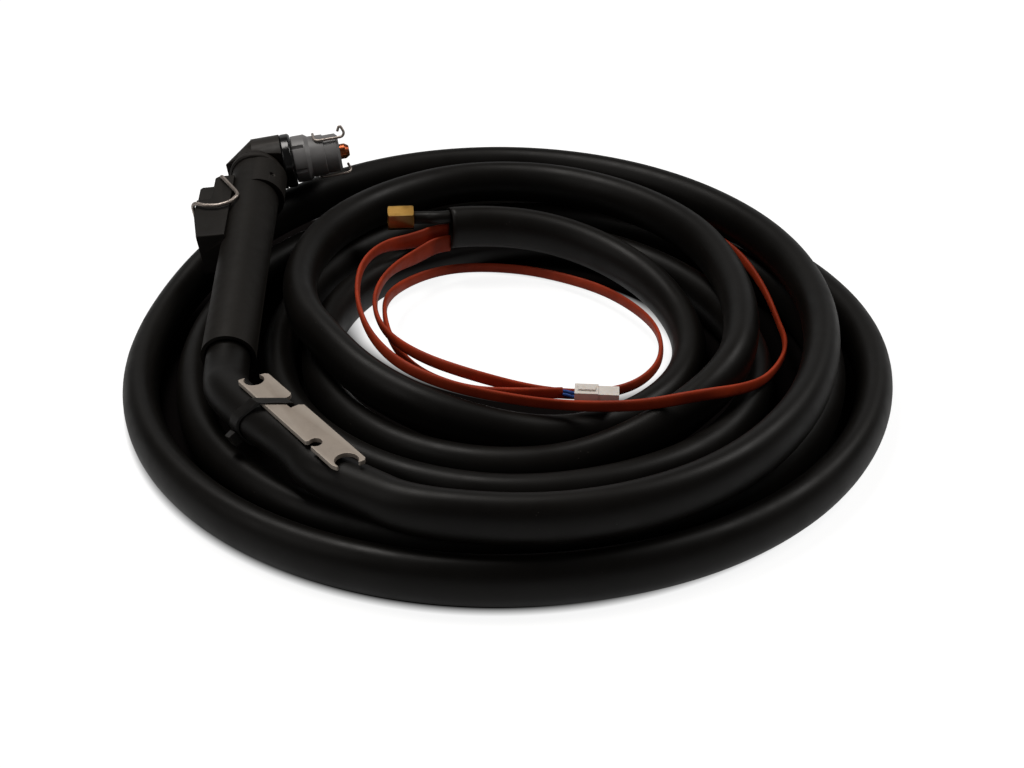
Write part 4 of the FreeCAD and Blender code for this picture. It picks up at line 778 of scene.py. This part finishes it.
# A bent wire's sides, and its broken end edges: reach and start in diameters, and share of its width
BENT_WIRE_SIDES = 20
CUT_REACH, CUT_START, CUT_SHRINK = 0.12, 0.2, 0.86


def bent_wire(name, points, place, bend, diameter, body, node):
    """A round steel wire along bent runs, shown in a CAD node's place."""
    route = [place @ (Vector(p) * MM) for p in rounded_points(points, bend)]

    def section(at, total):
        """Round, with the cut ends a little broken."""
        end = min(at, total - at)
        half = diameter / 2 * (1.0 if end > diameter * CUT_REACH else CUT_SHRINK)
        return half, half, 1.0, 0.0

    def near(end, beside):
        """A point close to one end of the route."""
        return end.lerp(beside, min(0.5, diameter * CUT_START / (beside - end).length))

    inner = [near(route[0], route[1]), *route[1:-1], near(route[-1], route[-2])]
    wire = swept(name, [route[0], *inner, route[-1]], section, sides=BENT_WIRE_SIDES, level=False)
    paint(wire, finish_for("bright_steel"))
    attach(wire, body)
    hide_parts(node)
    return wire


def blend_over(x, low, high):
    t = max(0.0, min(1.0, (x - low) / (high - low)))
    return t * t * (3 - 2 * t)


class TORCHSET_OT_stage(bpy.types.Operator):
    """Camera, floor, backdrop and soft lamps"""

    bl_idname = "torch_set.stage"
    bl_label = "Camera and stage"

    def execute(self, context):
        context.scene.view_settings.view_transform = "Standard"
        self.add_camera(context.scene)
        self.add_floor(context)
        self.add_world(context.scene)
        for lamp in LAMPS:
            self.add_lamp(context.scene, *lamp)
        return {"FINISHED"}

    def add_camera(self, scene):
        """The photograph's camera, level from side to side and looking down at the coil."""
        data = bpy.data.cameras.new("view_camera")
        data.lens, data.sensor_width = CAMERA_LENS, CAMERA_SENSOR
        data.clip_start, data.clip_end = CAMERA_CLIP
        camera = bpy.data.objects.new("view_camera", data)
        scene.collection.objects.link(camera)
        back = Vector((0, -math.cos(CAMERA_ELEVATION), math.sin(CAMERA_ELEVATION)))
        camera.location = CAMERA_TARGET + back * CAMERA_DISTANCE
        camera.rotation_euler = (math.pi / 2 - CAMERA_ELEVATION, 0, 0)
        scene.camera = camera

    def add_floor(self, context):
        """A wide paper floor whose far edge rises as a backdrop."""
        deselect()
        bpy.ops.mesh.primitive_plane_add(size=FLOOR_SIZE, location=(0, 0, FLOOR_DEPTH))
        floor = context.object
        floor.name = "floor"
        bpy.ops.object.mode_set(mode="EDIT")
        select_edges_behind(floor, BACKDROP_EDGE)
        bpy.ops.mesh.extrude_region_move(TRANSFORM_OT_translate={"value": BACKDROP_RISE})
        bpy.ops.object.mode_set(mode="OBJECT")
        paint(floor, floor_finish())

    def add_world(self, scene):
        """A world that the camera sees as white and that lights the set only a little."""
        world = bpy.data.worlds.new("studio")
        scene.world = world
        world.use_nodes = True
        nodes, links = world.node_tree.nodes, world.node_tree.links
        ground = nodes["Background"]
        ground.inputs["Color"].default_value = (*WORLD_COLOUR, 1)
        paths = nodes.new("ShaderNodeLightPath")
        strength = nodes.new("ShaderNodeMapRange")
        strength.inputs["To Min"].default_value = WORLD_FILL
        strength.inputs["To Max"].default_value = 1.0
        links.new(paths.outputs["Is Camera Ray"], strength.inputs["Value"])
        links.new(strength.outputs["Result"], ground.inputs["Strength"])

    def add_lamp(self, scene, name, place, size, power, colour):
        """A soft square lamp aimed at the coil."""
        lamp = bpy.data.lights.new(name, "AREA")
        lamp.size = size
        lamp.energy = power
        lamp.color = colour
        obj = bpy.data.objects.new(name, lamp)
        scene.collection.objects.link(obj)
        obj.location = place
        obj.rotation_euler = (LAMP_AIM - Vector(place)).to_track_quat("-Z", "Y").to_euler()


def floor_finish():
    """White paper, shown white to the camera, with deep shade painted on it between the lead's turns."""
    f = Finish("paper_floor", PAPER, 0.9)
    f.specular(0.0)
    middle = f.length(f.oval(OPEN_MIDDLE, OPEN_TURN, OPEN_HALVES))
    raised = f.length(f.oval(RAISED_MIDDLE, RAISED_TURN, RAISED_HALVES))
    # Painted shade: under all turns and out past the raised turn the paper is painted dark, except in the open
    # middle
    under_all = f.span(f.length(f.place), SHADE_REACH, SHADE_REACH + SHADE_FADE, 1.0, 0.0)
    under_turns = f.math("MAXIMUM", under_all, f.span(raised, *RAISED_FADE, 1.0, 0.0))
    shade = f.math("MULTIPLY", f.span(middle, *OPEN_FADE, 0.0, 1.0), under_turns)
    grain = f.noise(30.0)
    paper = f.ramp(grain, [(0.3, f.tint(0.98)), (0.7, PAPER)])
    f.colour_from(f.mix(shade, paper, SHADED_PAPER))
    path = f.nodes.new("ShaderNodeLightPath")
    mirrored = f.math("MAXIMUM", path.outputs["Is Glossy Ray"], path.outputs["Is Transmission Ray"])
    direct = f.math("MULTIPLY", path.outputs["Is Camera Ray"], PAPER_GLOW)
    seen = f.math("ADD", direct, f.math("MULTIPLY", mirrored, MIRRORED_GLOW))
    # The painted shade also takes away the paper's glow to the camera and in mirrors
    glow = f.math("MULTIPLY", seen, f.math("SUBTRACT", 1.0, shade))
    f.shader.inputs["Emission Color"].default_value = (1, 1, 1, 1)
    f.link(glow, f.shader.inputs["Emission Strength"])
    return f.material


def select_edges_behind(obj, y):
    """Select the edges that lie behind a line, in edit mode."""
    mesh = bmesh.from_edit_mesh(obj.data)
    for face in mesh.faces:
        face.select_set(False)
    for edge in mesh.edges:
        edge.select_set(all(v.co.y > y for v in edge.verts))
    bmesh.update_edit_mesh(obj.data)


class TORCHSET_OT_lead(bpy.types.Operator):
    """The long sheathed lead, from the handle's mouth to its cut end"""

    bl_idname = "torch_set.lead"
    bl_label = "Lead"

    def execute(self, context):
        s = settings()
        start = [MOUTH, MOUTH - TORCH_Z * LEAD_STRAIGHT * MM] + [Vector(p) * MM for p in FREE_LEAD]
        points = route_points("lead_route", start + coil_controls())
        free = (Vector(FREE_LEAD[-1]) * MM - MOUTH).length + FREE_SLACK
        round_half = s.lead_diameter / 2

        def section(at, total):
            """Round in the free part, oval in the coil."""
            t = blend_over(at, free - OVAL_BEFORE, free + OVAL_AFTER)
            w = round_half + (s.oval_width / 2 - round_half) * t
            h = round_half + (s.oval_height / 2 - round_half) * t
            return w, h, 1.0, 0.0

        lead = swept("lead", points, section, sides=LEAD_SIDES, closed_ends=False, lying=True)
        paint(lead, finish_for("lead_rubber"))
        close_sheath(lead)
        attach(lead, "base")
        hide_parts("lead_free", "lead_coil")
        return {"FINISHED"}


def close_sheath(lead):
    """Turn the open end in over a wall and down into the sheath, and cap the start."""
    mesh = bmesh.new()
    mesh.from_mesh(lead.data)
    open_edges = [e for e in mesh.edges if e.is_boundary]
    end_edges = [e for e in open_edges if (e.verts[0].co - LEAD_END).length < SHEATH_END_REACH]
    start_edges = [e for e in open_edges if e not in end_edges]
    bmesh.ops.contextual_create(mesh, geom=start_edges)
    for shrink, back in ((SHEATH_WALL, 0.0), (SHEATH_INSIDE, SHEATH_DEPTH)):
        out = bmesh.ops.extrude_edge_only(mesh, edges=end_edges)
        verts = [g for g in out["geom"] if isinstance(g, bmesh.types.BMVert)]
        middle = sum((v.co for v in verts), Vector()) / len(verts)
        for v in verts:
            v.co = middle + (v.co - middle) * shrink - LEAD_END_HEADING * back
        end_edges = [g for g in out["geom"] if isinstance(g, bmesh.types.BMEdge)]
    bmesh.ops.contextual_create(mesh, geom=end_edges)
    bmesh.ops.recalc_face_normals(mesh, faces=mesh.faces)
    mesh.to_mesh(lead.data)
    mesh.free()


def first_sleeve_end():
    """Where the first sleeve ends, and its heading there."""
    last, before = Vector(SLEEVE_A[-1]) * MM, Vector(SLEEVE_A[-2]) * MM
    return last, (last - before).normalized()


class TORCHSET_OT_sleeved_leads(bpy.types.Operator):
    """The two flat leads in orange sleeve and the thin wires at one's end"""

    bl_idname = "torch_set.sleeved_leads"
    bl_label = "Sleeved leads"

    def execute(self, context):
        s = settings()
        for tag, first, rest, far_end in (("a", SLEEVE_A_START, SLEEVE_A, "connector"),
                                          ("b", SLEEVE_B_START, SLEEVE_B, "bare")):
            controls = [first, first + LEAD_END_HEADING * SLEEVE_STRAIGHT * MM] + [Vector(p) * MM for p in rest]
            points = route_points("sleeve_route_" + tag, controls)

            def section(at, total):
                """A flat sleeve on edge, wider at the sheath and a little twisted along its run."""
                mouth = 1 - blend_over(at, *MOUTH_RUN)
                height = s.sleeve_width + (s.sleeve_mouth - s.sleeve_width) * mouth
                sway = SLEEVE_SWAY * math.sin(at * SLEEVE_WAVES) * (1 - mouth)
                return s.sleeve_thickness / 2, height / 2, SLEEVE_SQUARENESS, sway

            sleeve = swept("sleeve_" + tag, points, section, sides=SLEEVE_SIDES)
            paint(sleeve, finish_for("orange_sleeve"))
            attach(sleeve, "base")
            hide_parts("orange_lead_" + tag)
        self.thin_wires(*first_sleeve_end())
        return {"FINISHED"}

    def thin_wires(self, place, ahead):
        """The two control wires from the sleeve's end into the connector."""
        side = Vector((0, 0, 1)).cross(ahead).normalized()
        mouth_side = Vector((-CONNECTOR_HEADING.y, CONNECTOR_HEADING.x, 0))
        half = settings().wire_diameter / 2
        for tag, sign in (("left", 1), ("right", -1)):
            begin = place + side * (sign * WIRE_SPREAD * MM) + ahead * WIRE_CLEAR * MM
            finish = CONNECTOR - CONNECTOR_HEADING * CONNECTOR_HALF + mouth_side * (sign * CONTACT_PITCH / 2)
            controls = [begin, begin + ahead * WIRE_STRAIGHT * MM,
                        finish - CONNECTOR_HEADING * WIRE_STRAIGHT * MM, finish]
            points = route_points("control_route_" + tag, controls)
            wire = swept("control_wire_" + tag, points, round_section(half), sides=WIRE_SIDES)
            paint(wire, finish_for("blue_wire"))
            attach(wire, "base")
            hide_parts("blue_wire_" + tag)


class TORCHSET_OT_connector(bpy.types.Operator):
    """The connector housing with its contacts"""

    bl_idname = "torch_set.connector"
    bl_label = "Connector"

    def execute(self, context):
        dressed_copy("connector_housing", "connector_body", "clear_nylon", "base", 0.875)
        for tag in ("a", "b"):
            dress_node("contact_pin_" + tag, "plated_steel")
        return {"FINISHED"}


class TORCHSET_OT_hose_end(bpy.types.Operator):
    """The hose end, its union nut and nipple"""

    bl_idname = "torch_set.hose_end"
    bl_label = "Hose end"

    def execute(self, context):
        controls = [
            HOSE_START, HOSE_START + LEAD_END_HEADING * HOSE_STRAIGHT * MM,
            HOSE_END - NUT_AXIS * HOSE_STRAIGHT * MM, HOSE_END]
        half = settings().hose_diameter / 2
        points = route_points("hose_route", controls)
        hose = swept("hose", points, round_section(half), sides=HOSE_SIDES)
        paint(hose, finish_for("lead_rubber"))
        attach(hose, "base")
        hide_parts("gas_hose")
        dressed_copy("union_nut", "union_nut_body", "brass", "nut", 0.75)
        dress_node("hose_nipple", "brass")
        return {"FINISHED"}


class TORCHSET_OT_handle(bpy.types.Operator):
    """Both handle shells with their screw"""

    bl_idname = "torch_set.handle"
    bl_label = "Handle"

    def execute(self, context):
        for tag in ("upper", "lower"):
            dressed_copy("handle_shell_" + tag, "shell_" + tag, "handle_plastic", "base", 1.5, degrees=28)
        dress_node("handle_screw", "screw_steel")
        dress_node("lead_inner", "lead_rubber")
        dress_node("lead_clamp", "plated_steel")
        dress_node("gas_tube", "brass")
        return {"FINISHED"}


class TORCHSET_OT_trigger(bpy.types.Operator):
    """Trigger button, safety bail and the switch inside"""

    bl_idname = "torch_set.trigger"
    bl_label = "Trigger"

    def execute(self, context):
        dressed_copy("trigger_button", "button_cover", "button_plastic", "button", 1.0)
        side = [(x, BAIL_HALF_WIDTH, z) for x, z in BAIL_SIDE]
        route = [(BAIL_SIDE[0][0], BAIL_PIN_END, BAIL_SIDE[0][1])] + side
        route += [(x, -y, z) for x, y, z in reversed(route)]
        bent_wire("bail_wire", route, TORCH, BAIL_BEND, settings().bail_wire, "bail", "safety_bail")
        dress_node("switch_bracket", "plated_steel")
        dress_node("trigger_switch", "switch_plastic")
        dress_node("switch_plunger", "switch_plastic")
        self.springs()
        return {"FINISHED"}

    def springs(self):
        """Two coil springs between bracket and button."""
        steps = SPRING_STEPS * SPRING_TURNS
        for side, tag in ((-1, "lower"), (1, "upper")):
            coil = []
            for k in range(steps + 1):
                t = math.radians(360 * SPRING_TURNS * k / steps)
                coil.append((
                    SPRING_FOOT + SPRING_REST * k / steps, side * SPRING_SIDE + SPRING_RADIUS * math.sin(t),
                    SPRING_ALONG - SPRING_RADIUS * math.cos(t)))
            spring = bent_wire("button_coil_" + tag, coil, TORCH, SPRING_RADIUS, SPRING_WIRE * MM, "base",
                               "button_spring_" + tag)
            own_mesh(spring)


class TORCHSET_OT_head(bpy.types.Operator):
    """Elbow, rings, cap, clip and the parts that wear"""

    bl_idname = "torch_set.head"
    bl_label = "Head"

    def execute(self, context):
        for node, name, slot, rounding in (
                ("head_elbow", "elbow_body", "head_plastic", 1.25),
                ("neck_ring", "neck_band", "head_plastic", 0.75),
                ("gloss_ring", "gloss_band", "gloss_black", 1.0),
                ("nozzle_cap", "cap_body", "cap_grey", 1.0),
                ("nozzle", "nozzle_body", "copper", 0.625)):
            dressed_copy(node, name, slot, "base", rounding)
        self.standoff_clip()
        for node, slot in (("cathode_body", "brass"), ("insulator_sleeve", "cap_grey"), ("electrode", "copper"),
                           ("electrode_insert", "bright_steel"), ("swirl_ring", "cap_grey"),
                           ("cap_o_ring", "seal_rubber")):
            dress_node(node, slot)
        return {"FINISHED"}

    def standoff_clip(self):
        """The wire stand-off, sprung round the cap with two legs past the nozzle."""
        def on_cap(angle, along, reach):
            t = math.radians(angle)
            return (reach * math.cos(t), reach * math.sin(t), along)

        one, two = CLIP_LEGS
        span = one + 360 - two
        outside = CLIP_RADIUS / math.cos(math.radians(span / CLIP_STEPS / 2))
        route = [*CLIP_UPPER_HOOK, on_cap(one, CLIP_TIP, CLIP_RADIUS + CLIP_TIP_SPREAD)]
        for k in range(CLIP_STEPS + 1):
            angle = one - span * k / CLIP_STEPS
            if k in (0, CLIP_STEPS):
                route.append(on_cap(angle, CLIP_RING + CLIP_CORNER_AHEAD, CLIP_RADIUS + CLIP_CORNER_SPREAD))
            else:
                route.append(on_cap(angle, CLIP_RING, outside))
        route += [on_cap(two, CLIP_TIP, CLIP_RADIUS + CLIP_TIP_SPREAD), CLIP_LOWER_HOOK]
        bent_wire("clip_wire", route, HEAD, CLIP_BEND, settings().clip_wire, "base", "standoff_clip")


class TORCHSET_OT_spanner(bpy.types.Operator):
    """The flat spanner tied to the lead"""

    bl_idname = "torch_set.spanner"
    bl_label = "Spanner and tie"

    def execute(self, context):
        dressed_copy("flat_spanner", "spanner_body", "spanner_steel", "base", 0.75)
        dressed_copy("tie_band", "tie_strap", "tie_nylon", "base", 0.5)
        dressed_copy("tie_head", "tie_lock", "tie_nylon", "base", 1.0)
        return {"FINISHED"}


class TORCHSET_PT_pieces(bpy.types.Panel):
    """Shows the set's sizes and colours, and a button for each group of pieces"""

    bl_label = "Torch set"
    bl_idname = "TORCHSET_PT_pieces"
    bl_space_type = "VIEW_3D"
    bl_region_type = "UI"
    bl_category = "Torch"

    def draw(self, context):
        for name in TorchSetSettings.__annotations__:
            self.layout.prop(context.scene.torch_set, name)
        for operator in OPERATORS:
            self.layout.operator(operator.bl_idname)


OPERATORS = (
    TORCHSET_OT_stage, TORCHSET_OT_lead, TORCHSET_OT_connector, TORCHSET_OT_sleeved_leads, TORCHSET_OT_hose_end,
    TORCHSET_OT_handle, TORCHSET_OT_trigger, TORCHSET_OT_head, TORCHSET_OT_spanner)


def register():
    bpy.utils.register_class(TorchSetSettings)
    for operator in OPERATORS:
        bpy.utils.register_class(operator)
    bpy.utils.register_class(TORCHSET_PT_pieces)
    bpy.types.Scene.torch_set = bpy.props.PointerProperty(type=TorchSetSettings)


def unregister():
    del bpy.types.Scene.torch_set
    bpy.utils.unregister_class(TORCHSET_PT_pieces)
    for operator in reversed(OPERATORS):
        bpy.utils.unregister_class(operator)
    bpy.utils.unregister_class(TorchSetSettings)


def main():
    register()
    for operator in OPERATORS:
        group, name = operator.bl_idname.split(".")
        getattr(getattr(bpy.ops, group), name)()


if __name__ == "__main__":
    main()
